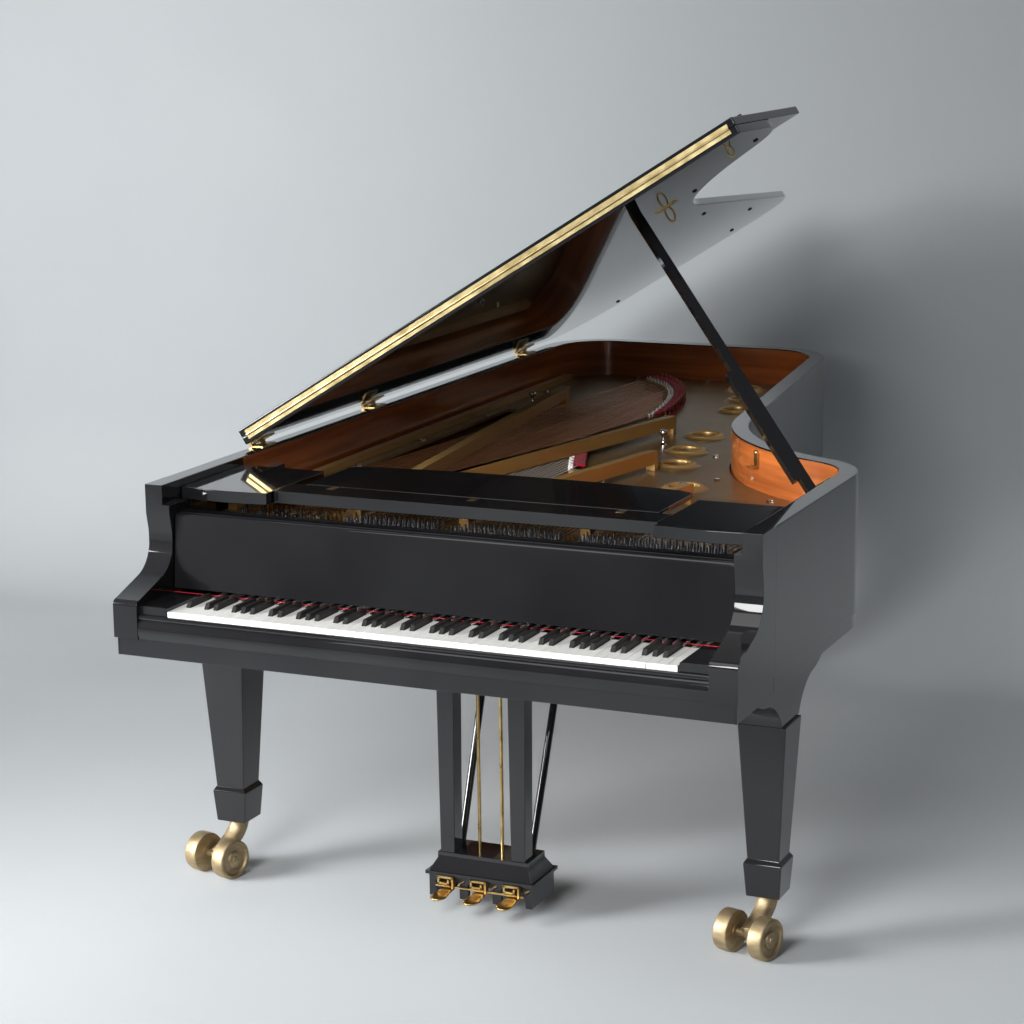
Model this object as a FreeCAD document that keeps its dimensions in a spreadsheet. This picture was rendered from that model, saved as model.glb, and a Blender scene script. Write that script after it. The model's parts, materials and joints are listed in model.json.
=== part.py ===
import FreeCAD, Part
import math
import os
import Sketcher

# A concert grand piano with its lid propped open, in millimetres.
# Case frame: X = 0 at the middle of the keyboard, Y = 0 at the front of the arms, Z = 0 on the floor.
# Finished pieces are shifted by (shift_x, shift_y) so that the origin is under the middle of the whole.

SIZES = {
    "half_width": 748,
    "case_length": 2690,
    "rim_thickness": 45,
    "rim_height": 368,
    "case_bottom": 635,
    "plinth_inset": 4,
    "plinth_height": 34,
    "bend_start": 822,
    "bend_radius": 190,
    "bend_turn_angle": 66,
    "waist_radius": 598,
    "tail_heading_angle": 7.2,
    "tail_radius": 208,
    "spine_corner_radius": 190,
    "inner_rim_thickness": 50,
    "arm_back": 245,
    "arm_cheek": 18,
    "arm_nose_rise": 75,
    "arm_nose_radius": 14,
    "arm_ramp_rise": 31,
    "arm_neck": 163,
    "arm_neck_radius": 78,
    "arm_brow": 155,
    "arm_brow_drop": 68,
    "arm_brow_height": 42,
    "key_bed_thickness": 42,
    "key_bed_front": 8,
    "key_bed_inset": 8,
    "key_bed_back": 660,
    "key_slip_front": 4,
    "key_slip_gap": 1.8,
    "key_slip_height": 56,
    "key_slip_bulge_radius": 62,
    "key_slip_bead_radius": 6,
    "key_slip_cove": 5,
    "key_front": 14.5,
    "key_rise": 68,
    "key_block_width": 72.44,
    "key_gap": 0.9,
    "natural_length": 146,
    "natural_head": 51,
    "natural_thickness": 20,
    "sharp_width": 10.5,
    "sharp_rise": 12,
    "sharp_slope": 9,
    "sharp_clearance": 1.6,
    "key_length": 425,
    "key_lever_width": 9,
    "key_lever_height": 22,
    "key_lever_drop": 10,
    "balance_reach": 240,
    "key_block_rise": 8,
    "shift_room": 3.6,
    "running_gap": 0.3,
    "fall_thickness": 18,
    "fall_height": 172,
    "fall_lean": 15,
    "fall_clearance": 5,
    "fall_pin_radius": 5,
    "fall_pin_inset": 14,
    "fall_pin_rise": 15,
    "fall_pin_length": 9,
    "fall_pin_depth": 6,
    "pin_clearance": 0.1,
    "nameboard_gap": 5,
    "nameboard_height": 36,
    "key_frame_thickness": 13,
    "key_frame_front": 30,
    "key_frame_inset": 4,
    "balance_rail_width": 12,
    "action_bracket_width": 12,
    "action_bracket_depth": 120,
    "hammer_pivot_reach": 330,
    "hammer_pivot_rise": 161,
    "hammer_reach": 122,
    "hammer_head_length": 16,
    "hammer_head_rise": 35,
    "hammer_head_drop": 12,
    "hammer_width": 8,
    "hammer_shank": 6,
    "hammer_rail_width": 16,
    "hammer_rail_height": 14,
    "string_rise": 228,
    "bass_string_lift": 14,
    "string_margin": 11.51,
    "section_break": 44,
    "treble_string_radius": 0.6,
    "bass_string_radius": 1.8,
    "top_string_length": 92,
    "tenor_string_length": 1496,
    "agraffe_gap": 54,
    "agraffe_width": 5,
    "agraffe_depth": 8,
    "hitch_tail": 95,
    "hitch_margin": 12,
    "hitch_pin_radius": 2,
    "hitch_pin_rise": 3,
    "tuning_pin_radius": 3.4,
    "tuning_pin_rise": 20,
    "tuning_pin_setback": 38,
    "tuning_pin_step": 26,
    "bridge_width": 30,
    "soundboard_thickness": 9,
    "soundboard_drop": 47,
    "soundboard_front": 482,
    "rib_width": 24,
    "rib_height": 22,
    "rib_step": 290,
    "brace_width": 70,
    "brace_height": 160,
    "belly_rail_thickness": 30,
    "plate_thickness": 9,
    "plate_drop": 12,
    "plate_inset": 50,
    "plate_front_gap": 3,
    "plate_hole_radius": 38,
    "plate_ring_width": 13,
    "plate_ring_rise": 8,
    "strut_width": 24,
    "strut_height": 34,
    "strut_lift": 4,
    "strut_foot": 22,
    "pin_block_thickness": 24,
    "plate_bolt_inset": 50,
    "plate_bolt_radius": 8,
    "plate_bolt_rise": 6,
    "opening_side": 22.44,
    "opening_margin": 48,
    "spine_rib_width": 24,
    "spine_rib_rise": 20,
    "strut_bend_setback": 112,
    "branch_setback": 150,
    "branch_side": 156,
    "branch_end_setback": 40,
    "nose_bolt_radius": 7,
    "nose_bolt_rise": 40,
    "nose_bolt_side": 55,
    "nose_bolt_setback": 47,
    "nose_knob_radius": 11.2,
    "felt_width": 26,
    "felt_setback": 13,
    "felt_thickness": 3,
    "damper_width": 8,
    "damper_length": 34,
    "damper_height": 21,
    "damper_setback": 78,
    "lid_angle": 31.4,
    "lid_thickness": 20,
    "lid_overhang": 6,
    "lid_lift": 6,
    "lid_hinge_out": 6,
    "lid_hinge_knuckle": 4.5,
    "lid_hinge_length": 70,
    "lid_hinge_leaf": 2.4,
    "lid_hinge_leaf_width": 30,
    "flap_line": 620,
    "flap_depth": 465,
    "flap_gap": 0.5,
    "flap_hinge_inset": 18,
    "flap_leaf_width": 11.5,
    "flap_leaf_thickness": 1.6,
    "flap_knuckle_radius": 2.6,
    "prop_pivot_inset": 31,
    "prop_pivot_setback": 86,
    "prop_pivot_drop": 28,
    "prop_tip_u": 1100,
    "prop_tip_y": 880,
    "prop_width": 32,
    "prop_thickness": 21,
    "prop_pin_radius": 5,
    "prop_ear": 14,
    "prop_bracket_reach": 70,
    "prop_bracket_radius": 9,
    "prop_bracket_plate": 4,
    "prop_bracket_width": 46,
    "prop_bracket_height": 36,
    "short_prop_length": 300,
    "short_prop_start": 40,
    "short_prop_thickness": 15,
    "short_prop_pin_radius": 4,
    "prop_hook_angle": 45,
    "prop_hook_reach": 26,
    "prop_hook_height": 40,
    "prop_hook_thickness": 6,
    "prop_hook_width": 20,
    "prop_hook_drop": 14,
    "prop_socket_length": 60,
    "prop_socket_width": 22,
    "prop_socket_thickness": 3,
    "prop_socket_y": 1085,
    "shelf_drop": 18,
    "shelf_thickness": 28,
    "shelf_front": 267,
    "shelf_depth": 88,
    "wing_width": 213,
    "shelf_bar_height": 8,
    "shelf_bar_depth": 44,
    "shelf_bar_setback": 30,
    "shelf_runner_height": 16,
    "shelf_runner_back": 700,
    "wing_gap": 3,
    "wing_front": 238,
    "wing_bow_radius": 620,
    "wing_depth": 280,
    "wing_side_gap": 2,
    "desk_thickness": 12,
    "desk_height": 258,
    "desk_side_gap": 32,
    "desk_pivot_gap": 9,
    "desk_shoulder": 38,
    "desk_bow_radius": 3200,
    "desk_rest_width": 26,
    "desk_hinge_length": 18,
    "desk_hinge_width": 26,
    "desk_hinge_thickness": 2,
    "desk_knuckle_radius": 3,
    "leg_inset": 66,
    "leg_y": 411,
    "leg_top_width": 112,
    "leg_bottom_width": 74,
    "leg_top": 527,
    "cuff_top": 200,
    "cuff_height": 78,
    "cuff_width": 90,
    "cuff_lip": 12,
    "bracket_width": 98,
    "bracket_reach": 190,
    "bracket_lip": 3,
    "bracket_knee": 34,
    "bracket_curve_radius": 140,
    "tail_bracket_width": 180,
    "caster_trail": 80,
    "caster_swing_angle": 15,
    "wheel_radius": 48,
    "wheel_width": 36,
    "wheel_spacing": 92,
    "wheel_hub_radius": 20,
    "wheel_hub_rise": 5,
    "axle_radius": 9,
    "fork_width": 46,
    "fork_length": 50,
    "fork_rise": 24,
    "fork_arm_height": 16,
    "fork_stem_radius": 14,
    "fork_stem_depth": 40,
    "lock_screw_radius": 4,
    "lock_screw_length": 38,
    "lock_screw_angle": 40,
    "lock_handle_length": 40,
    "lyre_offset": 10,
    "lyre_y": 325,
    "pillar_spacing": 180,
    "pillar_top_width": 46,
    "pillar_bottom_width": 36,
    "pillar_depth": 44,
    "lyre_box_width": 262,
    "lyre_box_depth": 130,
    "lyre_box_bottom": 32,
    "lyre_box_height": 54,
    "lyre_step_height": 14,
    "lyre_step_inset": 16,
    "brace_rod_radius": 9,
    "brace_rod_run": 200,
    "brace_rod_spread": 6,
    "brace_rod_foot": 90,
    "pedal_spacing": 84,
    "pedal_width": 30,
    "pedal_thickness": 9,
    "pedal_toe": 72,
    "pedal_toe_width": 40,
    "pedal_pivot_radius": 4,
    "pedal_slot_gap": 16,
    "pedal_rod_radius": 4,
    "pedal_rod_gap": 0.6,
    "pedal_rod_setback": 28,
    "pedal_rod_spacing": 58,
    "pedal_rod_offset": -30,
    "pedal_axle_inset": 35,
    "lyre_wall": 12,
    "lyre_lip": 7,
    "lyre_lip_height": 8,
    "lyre_cove_height": 28,
    "pedal_guard_wire": 5,
    "pedal_guard_height": 14,
    "pedal_guard_reach": 16,
    "pedal_drop": 20,
    "overrun": 5,
}

NATURALS = 52
SHARP_STEPS = (1, 3, 6, 8, 10)
NOTES = 88
NOTE_STEPS = NOTES - 1
LOWEST_STEP = 9
SECTION_STARTS = (20, 39, 60)
DAMPER_NOTES = 68

# Places in plan as shares of the half width and of the case length.
OPENING_NOTES = (87, 79, 71, 63, 60, 59, 56, 49, 43, 39, 38, 32, 28, 24, 20)
TENOR_FELT_NOTES = range(20, 31)
BASS_SLOT_STEPS = 6
PLATE_HOLE_SHARES = (
    (0.082, 0.640), (0.118, 0.558), (0.175, 0.487), (0.335, 0.385),
    (-0.120, 0.930), (-0.040, 0.862), (0.010, 0.795),
)
NOSE_BOLT_SHARES = ((0.005, 0.575), (0.400, 0.335))
RIGHT_BOLT_SHARES = (0.505, 0.927)
WAIST_BOLT_SHARES = (0.153, 0.571, 1.0)
TREBLE_BOLT_SHARES = (0.296, 0.554, 0.865)
TAIL_BOLT_SHARES = (0.385, 0.843)
SPINE_BOLT_SHARES = (0.107, 0.298, 0.489, 0.656, 0.812)
BASS_BRIDGE_SHARES = ((-0.525, 0.917), (-0.270, 0.866), (-0.205, 0.690))
STRUT_ENDS_SHARES = ((-0.060, 0.640), (0.120, 0.455), (0.430, 0.318))
STRUT_LEAN_SHARES = (0.40, 0.0, 0.0)
BRACE_SHARES = (-0.670, -0.340, 0.0, 0.330, 0.640)
DESK_HINGE_SHARES = (-0.760, 0.0, 0.760)
LID_HINGE_SHARES = (0.255, 0.480, 0.860)
PROP_FOLD_SHARES = (-0.640, 0.768)
TAIL_LEG_SHARES = (-0.3743, 0.829)
BRACKET_KNEE_SHARE = 0.5
PEDAL_TAIL_SHARE = 0.6
BRACE_EXTRA_SHARE = 0.1
NECK_REACH_SHARE = 0.7
NECK_RISE_SHARE = 0.955
LID_HINGE_PIN_SHARE = 0.33
KNUCKLE_COUNT = 5
TUNING_ROWS = 4

doc = FreeCAD.newDocument("grand_piano")
sheet = doc.addObject("Spreadsheet::Sheet", "dims")
for row, (name, number) in enumerate(SIZES.items(), 1):
    sheet.set(f"A{row}", name)
    sheet.set(f"B{row}", str(number))
    sheet.setAlias(f"B{row}", name)
doc.recompute()


class Size:
    """A number together with the sheet expression that gives it."""

    def __init__(self, value, text):
        self.value = value
        self.text = text

    def __add__(self, other):
        other = as_size(other)
        return Size(self.value + other.value, f"({self.text} + {other.text})")

    def __sub__(self, other):
        other = as_size(other)
        return Size(self.value - other.value, f"({self.text} - {other.text})")

    def __mul__(self, other):
        other = as_size(other)
        return Size(self.value * other.value, f"({self.text} * {other.text})")

    def __truediv__(self, other):
        other = as_size(other)
        return Size(self.value / other.value, f"({self.text} / {other.text})")

    def __neg__(self):
        return Size(-self.value, f"(0 - {self.text})")

    def __pow__(self, other):
        other = as_size(other)
        return Size(self.value ** other.value, f"({self.text} ^ {other.text})")

    def __radd__(self, other):
        return as_size(other) + self

    def __rsub__(self, other):
        return as_size(other) - self

    def __rmul__(self, other):
        return as_size(other) * self


def as_size(number):
    if isinstance(number, Size):
        return number
    return Size(float(number), f"({float(number)})")


class Sheet:
    """The sheet's sizes by name."""

    def __getattr__(self, name):
        return Size(sheet.get(name), f"dims.{name}")


d = Sheet()


def cosine(angle):
    return Size(math.cos(math.radians(angle.value)), f"cos({angle.text})")


def sine(angle):
    return Size(math.sin(math.radians(angle.value)), f"sin({angle.text})")


# Levels and lines that many pieces share.
rim_top = d.case_bottom + d.rim_height
bed_top = d.case_bottom + d.key_bed_thickness
key_top = bed_top + d.key_rise
string_z = bed_top + d.string_rise
inner_half = d.half_width - d.rim_thickness
cheek_half = inner_half - d.arm_cheek
keys_half = cheek_half - d.key_block_width
natural_pitch = keys_half * 2 / NATURALS
section_breaks = d.section_break * len(SECTION_STARTS)
strings_half = keys_half - d.string_margin
string_pitch = (strings_half * 2 - section_breaks) / NOTE_STEPS
opening_half = keys_half + d.opening_side
shelf_half = cheek_half - d.wing_width
desk_half = shelf_half - d.desk_side_gap
leg_x = d.half_width - d.leg_inset
fall_front = d.key_front + d.natural_length
hammer_y = d.key_front + d.hammer_pivot_reach
agraffe_y = hammer_y + d.hammer_reach - d.agraffe_gap
plate_top = string_z - d.plate_drop
plate_bottom = plate_top - d.plate_thickness
soundboard_top = string_z - d.soundboard_drop
soundboard_bottom = soundboard_top - d.soundboard_thickness
shelf_top = rim_top - d.shelf_drop
shelf_bottom = shelf_top - d.shelf_thickness
lid_x = -(d.half_width + d.lid_hinge_out)
lid_z = rim_top + d.lid_lift
lid_cos = cosine(d.lid_angle)
lid_sin = sine(d.lid_angle)
wheel_outer = d.wheel_spacing / 2 + d.wheel_width / 2
swing_cos = cosine(d.caster_swing_angle)
swing_sin = sine(d.caster_swing_angle)
caster_reach = (d.caster_trail + d.wheel_radius) * swing_sin + wheel_outer * swing_cos
shift_x = (leg_x + caster_reach - d.half_width) / 2
shift_y = -(d.case_length + d.lid_overhang) / 2
ZERO = as_size(0)
UP = FreeCAD.Vector(0, 0, 1)


def vector(x, y, z):
    return FreeCAD.Vector(as_size(x).value, as_size(y).value, as_size(z).value)


def put(piece, x, y, z, rotation=None):
    """Places a piece in the case frame, tied to the sheet, and shifts it to the origin."""
    base = (x + shift_x, y + shift_y, as_size(z))
    piece.Placement = FreeCAD.Placement(vector(*base), rotation or FreeCAD.Rotation())
    for letter, place in zip("xyz", base):
        piece.setExpression(f"Placement.Base.{letter}", place.text)
    return piece


def box(label, low, size, rotation=None):
    piece = doc.addObject("Part::Box", label)
    for name, length in zip(("Length", "Width", "Height"), size):
        piece.setExpression(name, as_size(length).text)
    return put(piece, *low, rotation)


def cylinder(label, base, radius, height, rotation=None):
    piece = doc.addObject("Part::Cylinder", label)
    piece.setExpression("Radius", radius.text)
    piece.setExpression("Height", as_size(height).text)
    return put(piece, *base, rotation)


def fuse(label, pieces):
    whole = doc.addObject("Part::MultiFuse", label)
    whole.Shapes = pieces
    return whole


def cut(label, base, tool):
    rest = doc.addObject("Part::Cut", label)
    rest.Base = base
    rest.Tool = tool
    return rest


def common(label, base, tool):
    shared = doc.addObject("Part::Common", label)
    shared.Base = base
    shared.Tool = tool
    return shared


def group(label, pieces):
    """Separate solids that share one node."""
    whole = doc.addObject("Part::Compound", label)
    whole.Links = pieces
    return whole


def feature(label, solids):
    """A set of many small solids made straight from the sheet's sizes."""
    piece = doc.addObject("Part::Feature", label)
    piece.Shape = solids[0] if len(solids) == 1 else Part.makeCompound(solids)
    piece.Placement = FreeCAD.Placement(vector(shift_x, shift_y, 0), FreeCAD.Rotation())
    return piece


def block(low, size):
    return Part.makeBox(size[0], size[1], size[2], FreeCAD.Vector(*low))


def bar_between(start, end, radius):
    along = end - start
    return Part.makeCylinder(radius, along.Length, start, along)


def arc_edge(start, end, radius):
    """The circle arc of a signed radius: positive turns left from start to end."""
    chord = end - start
    middle = (start + end) * 0.5
    left = FreeCAD.Vector(-chord.y, chord.x, 0).normalize()
    rise = math.sqrt(radius * radius - chord.Length * chord.Length / 4)
    centre = middle + left * (rise if radius > 0 else -rise)
    first, last = (start, end) if radius > 0 else (end, start)
    angles = [math.atan2(p.y - centre.y, p.x - centre.x) for p in (first, last)]
    if angles[1] < angles[0]:
        angles[1] += 2 * math.pi
    return Part.ArcOfCircle(Part.Circle(centre, UP, abs(radius)), *angles)


def draw(sketch, path):
    """Draws a closed outline. A corner is (x, y), or (x, y, radius) where the edge into it is an arc."""
    corners = [vector(corner[0], corner[1], 0) for corner in path]
    edges, ends = [], []
    for i, corner in enumerate(path):
        start, end = corners[i - 1], corners[i]
        if len(corner) == 2:
            edges.append(Part.LineSegment(start, end))
            ends.append((1, 2))
        else:
            edges.append(arc_edge(start, end, corner[2].value))
            ends.append((1, 2) if corner[2].value > 0 else (2, 1))
    sketch.addGeometry(edges, False)
    rules, ties = [], []
    for i, corner in enumerate(path):
        following = (i + 1) % len(path)
        rules.append(Sketcher.Constraint("Coincident", i, ends[i][1], following, ends[following][0]))
        x, y, *bow = corner
        for kind, place in (("DistanceX", x), ("DistanceY", y)):
            place = as_size(place)
            ties.append((len(rules), place.text))
            rules.append(Sketcher.Constraint(kind, -1, 1, i, ends[i][1], place.value))
        for turn in bow:
            radius = turn if turn.value > 0 else -turn
            ties.append((len(rules), radius.text))
            rules.append(Sketcher.Constraint("Radius", i, radius.value))
    sketch.addConstraint(rules)
    for index, text in ties:
        sketch.setExpression(f"Constraints[{index}]", text)


def draw_circles(sketch, circles):
    for x, y, radius in circles:
        ring = sketch.addGeometry(Part.Circle(vector(x, y, 0), UP, radius.value), False)
        for kind, place in (("DistanceX", x), ("DistanceY", y)):
            rule = sketch.addConstraint(Sketcher.Constraint(kind, -1, 1, ring, 3, place.value))
            sketch.setExpression(f"Constraints[{rule}]", place.text)
        rule = sketch.addConstraint(Sketcher.Constraint("Radius", ring, radius.value))
        sketch.setExpression(f"Constraints[{rule}]", radius.text)


def sketch_in(body, plane, start):
    sketch = body.newObject("Sketcher::SketchObject", f"{body.Name}_sketch")
    support = [feature for feature in body.Origin.OriginFeatures if feature.Role == plane][0]
    sketch.AttachmentSupport = [(support, "")]
    sketch.MapMode = "FlatFace"
    sketch.setExpression("AttachmentOffset.Base.z", as_size(start).text)
    return sketch


def pad(body, plane, path, start, depth, circles=()):
    """Adds an outline raised from start along the plane's normal; circles alone make plain discs or rings."""
    sketch = sketch_in(body, plane, start)
    if path:
        draw(sketch, path)
    draw_circles(sketch, circles)
    raised = body.newObject("PartDesign::Pad", f"{body.Name}_pad")
    raised.Profile = sketch
    raised.setExpression("Length", as_size(depth).text)
    return raised


def pocket(body, plane, path, start, depth, circles=()):
    """Cuts an outline from start back against the plane's normal."""
    sketch = sketch_in(body, plane, start)
    if path:
        draw(sketch, path)
    draw_circles(sketch, circles)
    cutter = body.newObject("PartDesign::Pocket", f"{body.Name}_pocket")
    cutter.Profile = sketch
    cutter.setExpression("Length", as_size(depth).text)
    return cutter


def new_body(label, in_lid=False):
    body = doc.addObject("PartDesign::Body", label)
    if in_lid:
        put(body, lid_x, ZERO, lid_z, FreeCAD.Rotation(FreeCAD.Vector(0, -1, 0), d.lid_angle.value))
        body.setExpression("Placement.Rotation.Angle", d.lid_angle.text)
        return body
    return put(body, ZERO, ZERO, ZERO)


def prism(label, plane, path, start, depth, in_lid=False):
    body = new_body(label, in_lid)
    pad(body, plane, path, start, depth)
    return body


def rectangle(low_x, low_y, high_x, high_y):
    return [(low_x, low_y), (high_x, low_y), (high_x, high_y), (low_x, high_y)]


def plan_share(share):
    """A place in plan from shares of the half width and the case length."""
    return (d.half_width * share[0], d.case_length * share[1])


def case_path(inset, front, spine_inset=None):
    """The case outline in plan from the right front, round the tail, to the left front."""
    inset = as_size(inset)
    spine = inset if spine_inset is None else as_size(spine_inset)
    bend_cos, bend_sin = cosine(d.bend_turn_angle), sine(d.bend_turn_angle)
    tail_cos, tail_sin = cosine(d.tail_heading_angle), sine(d.tail_heading_angle)
    bend_x = d.half_width - d.bend_radius * (1 - bend_cos)
    bend_y = d.bend_start + d.bend_radius * bend_sin
    waist_x = bend_x - d.waist_radius * (tail_cos - bend_cos)
    waist_y = bend_y + d.waist_radius * (bend_sin - tail_sin)
    tail_y = d.case_length - d.tail_radius * (1 - tail_sin)
    tail_x = waist_x - (tail_y - waist_y) * tail_sin / tail_cos
    return [
        (d.half_width - inset, front),
        (d.half_width - inset, d.bend_start),
        (bend_x - inset * bend_cos, bend_y - inset * bend_sin, d.bend_radius - inset),
        (waist_x - inset * tail_cos, waist_y - inset * tail_sin, -(d.waist_radius + inset)),
        (tail_x - inset * tail_cos, tail_y - inset * tail_sin),
        (tail_x - d.tail_radius * tail_cos, d.case_length - inset, d.tail_radius - inset),
        (d.spine_corner_radius - d.half_width, d.case_length - inset),
        (spine - d.half_width, d.case_length - d.spine_corner_radius, d.spine_corner_radius - inset),
        (spine - d.half_width, front),
    ]


def backwards(path):
    """The same outline drawn the other way round."""
    turned = []
    for i in range(len(path) - 1, -1, -1):
        corner = path[i][:2]
        arrives = path[i + 1] if i + 1 < len(path) else ()
        turned.append(corner + (-arrives[2],) if len(arrives) > 2 else corner)
    return turned


def shell_path(outer, inner, front):
    return case_path(outer, front) + backwards(case_path(inner, front))


# The wooden case.
def outer_rim():
    body = new_body("outer_rim")
    step = d.case_bottom + d.plinth_height
    pad(body, "XY_Plane", shell_path(0, d.rim_thickness, d.arm_back), step, rim_top - step)
    plinth = shell_path(d.plinth_inset, d.rim_thickness, d.arm_back)
    pad(body, "XY_Plane", plinth, d.case_bottom, d.plinth_height)
    return body


def arm_profile(top):
    """Side view of an arm: round nose, ramp, hollow neck and upright brow."""
    nose = bed_top + d.arm_nose_rise
    ramp_start = nose + d.arm_nose_radius
    ramp_end = ramp_start + d.arm_ramp_rise
    neck = ramp_end + d.arm_neck_radius * NECK_RISE_SHARE
    ramp_y = d.arm_neck - d.arm_neck_radius * NECK_REACH_SHARE
    brow = rim_top - d.arm_brow_drop
    profile = [
        (d.arm_back, bed_top),
        (d.arm_back, top),
        (d.arm_brow, top),
        (d.arm_brow, brow),
        (d.arm_neck, brow - d.arm_brow_height),
        (d.arm_neck, neck),
        (ramp_y, ramp_end, -d.arm_neck_radius),
        (d.arm_nose_radius, ramp_start),
        (ZERO, nose, d.arm_nose_radius),
        (ZERO, bed_top),
    ]
    return profile


def arm(label, side):
    """One arm with its inner cheek, the runner behind it and the pin that the fallboard turns on."""
    body = new_body(label)
    outer = -d.half_width if side < 0 else inner_half
    inner = -inner_half if side < 0 else cheek_half
    pad(body, "YZ_Plane", arm_profile(rim_top), outer, d.rim_thickness)
    seat = shelf_bottom - d.running_gap
    pad(body, "YZ_Plane", arm_profile(seat), inner, d.arm_cheek)
    runner = rectangle(d.arm_back - d.overrun, seat - d.shelf_runner_height, d.shelf_runner_back, seat)
    pad(body, "YZ_Plane", runner, inner, d.arm_cheek)
    pin_start = -cheek_half if side < 0 else cheek_half - d.fall_pin_length
    pad(body, "YZ_Plane", [], pin_start, d.fall_pin_length, [(*fall_pivot(), d.fall_pin_radius)])
    return body


def key_bed():
    front_half = d.half_width - d.key_bed_inset
    path = [
        (-front_half, d.key_bed_front),
        (front_half, d.key_bed_front),
        (front_half, d.arm_back),
        (inner_half, d.arm_back),
        (inner_half, d.key_bed_back),
        (-inner_half, d.key_bed_back),
        (-inner_half, d.arm_back),
        (-front_half, d.arm_back),
    ]
    return prism("key_bed", "XY_Plane", path, d.case_bottom, d.key_bed_thickness)


def key_slip():
    """The rail in front of the keys: bulging face, cove and bead."""
    back = d.key_front - d.key_slip_gap
    bead = bed_top + d.key_slip_height - d.key_slip_bead_radius * 2
    cove_y = d.key_slip_front + d.key_slip_cove
    path = [
        (back, bed_top),
        (back, bed_top + d.key_slip_height),
        (cove_y, bed_top + d.key_slip_height),
        (cove_y, bead, d.key_slip_bead_radius + d.running_gap),
        (d.key_slip_front, bead - d.key_slip_cove),
        (d.key_slip_front, bed_top, d.key_slip_bulge_radius),
    ]
    return prism("key_slip", "YZ_Plane", path, -cheek_half, cheek_half * 2)


def key_block(label, low_x, high_x):
    depth = fall_front - d.fall_clearance - d.key_front
    return box(
        label,
        (low_x, d.key_front, bed_top),
        (high_x - low_x, depth, d.key_rise + d.key_block_rise),
    )


def key_blocks():
    left = key_block("left_key_block", -cheek_half, -(keys_half + d.key_gap))
    right = key_block("right_key_block", keys_half + d.shift_room, cheek_half)
    return group("key_blocks", [left, right])


def fall_bottom():
    return key_top + d.sharp_rise + d.fall_clearance


def fall_pivot():
    return (fall_front + d.fall_pin_inset, fall_bottom() + d.fall_pin_rise)


def fallboard():
    """The hinged board over the keys, leaning back, with a round nosing along its top."""
    bottom = fall_bottom()
    top = bottom + d.fall_height
    half = cheek_half - d.fall_pin_length + d.fall_pin_depth
    path = [
        (fall_front, bottom),
        (fall_front + d.fall_thickness, bottom),
        (fall_front + d.fall_thickness + d.fall_lean, top - d.fall_thickness / 2),
        (fall_front + d.fall_lean, top - d.fall_thickness / 2, d.fall_thickness / 2 + d.pin_clearance),
    ]
    body = prism("fallboard", "YZ_Plane", path, -half, half * 2)
    bore = [(*fall_pivot(), d.fall_pin_radius + d.pin_clearance)]
    seat = d.fall_pin_depth + d.overrun
    pocket(body, "YZ_Plane", [], half, seat, bore)
    pocket(body, "YZ_Plane", [], seat - half, seat, bore)
    return body


def nameboard():
    """The fixed board behind the fallboard's nosing."""
    front = fall_front + d.fall_thickness + d.fall_lean + d.nameboard_gap
    top = fall_bottom() + d.fall_height
    return box(
        "nameboard",
        (-cheek_half, front, top - d.nameboard_height),
        (cheek_half * 2, d.arm_back - d.nameboard_gap - front, d.nameboard_height),
    )


# The inside of the case.
def inner_rim():
    depth = d.rim_thickness + d.inner_rim_thickness
    path = shell_path(d.rim_thickness, depth, d.key_bed_back)
    return prism("inner_rim", "XY_Plane", path, d.case_bottom, soundboard_bottom - d.case_bottom)


def cavity(label, front, low, high):
    """The room inside the inner rim, used to trim beams and ribs to length."""
    path = case_path(d.rim_thickness + d.inner_rim_thickness, front)
    return prism(label, "XY_Plane", path, low, high - low)


def rim_braces():
    """The belly rail on the key bed under the soundboard's front edge, and the beams behind the bed."""
    rail_back = d.key_bed_back
    rail = box(
        "belly_rail",
        (-inner_half, d.soundboard_front, bed_top),
        (inner_half * 2, d.belly_rail_thickness, soundboard_bottom - bed_top),
    )
    beams = [rail]
    for i, share in enumerate(BRACE_SHARES):
        long_beam = box(
            f"long_beam_{i}",
            (d.half_width * share - d.brace_width / 2, rail_back, d.case_bottom),
            (d.brace_width, d.case_length - rail_back, d.brace_height),
        )
        room = cavity(f"beam_room_{i}", rail_back, d.case_bottom, d.case_bottom + d.brace_height)
        beams.append(common(f"beam_{i}", long_beam, room))
    return group("rim_braces", beams)


def soundboard():
    """The thin board on the inner rim and the ribs glued across its underside."""
    path = case_path(d.rim_thickness + d.running_gap, d.soundboard_front)
    board = prism("sounding_board", "XY_Plane", path, soundboard_bottom, d.soundboard_thickness)
    first = d.soundboard_front + d.belly_rail_thickness + d.rib_step / 2
    pieces = [board]
    place = first
    while place.value + d.rib_step.value < d.case_length.value:
        number = len(pieces)
        strip = box(
            f"rib_strip_{number}",
            (-d.half_width, place, soundboard_bottom - d.rib_height),
            (d.half_width * 2, d.rib_width, d.rib_height),
        )
        rib_low = soundboard_bottom - d.rib_height
        room = cavity(f"rib_room_{number}", d.soundboard_front, rib_low, soundboard_bottom)
        pieces.append(common(f"rib_{number}", strip, room))
        place = place + d.rib_step
    return group("soundboard", pieces)


def note_place(note):
    """Where a note's strings and hammer stand, with a wider break at each section."""
    breaks = sum(1 for start in SECTION_STARTS if note >= start)
    return string_pitch * note + d.section_break * breaks - strings_half


def note_x(note):
    return note_place(note).value


def bass_bridge_place(fraction):
    """A place on the bass bridge's curve, from the lowest note to the top of the bass."""
    rest = 1 - fraction
    weights = (rest * rest, 2 * rest * fraction, fraction * fraction)
    share_x = sum(weight * share[0] for weight, share in zip(weights, BASS_BRIDGE_SHARES))
    share_y = sum(weight * share[1] for weight, share in zip(weights, BASS_BRIDGE_SHARES))
    return plan_share((share_x, share_y))


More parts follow.
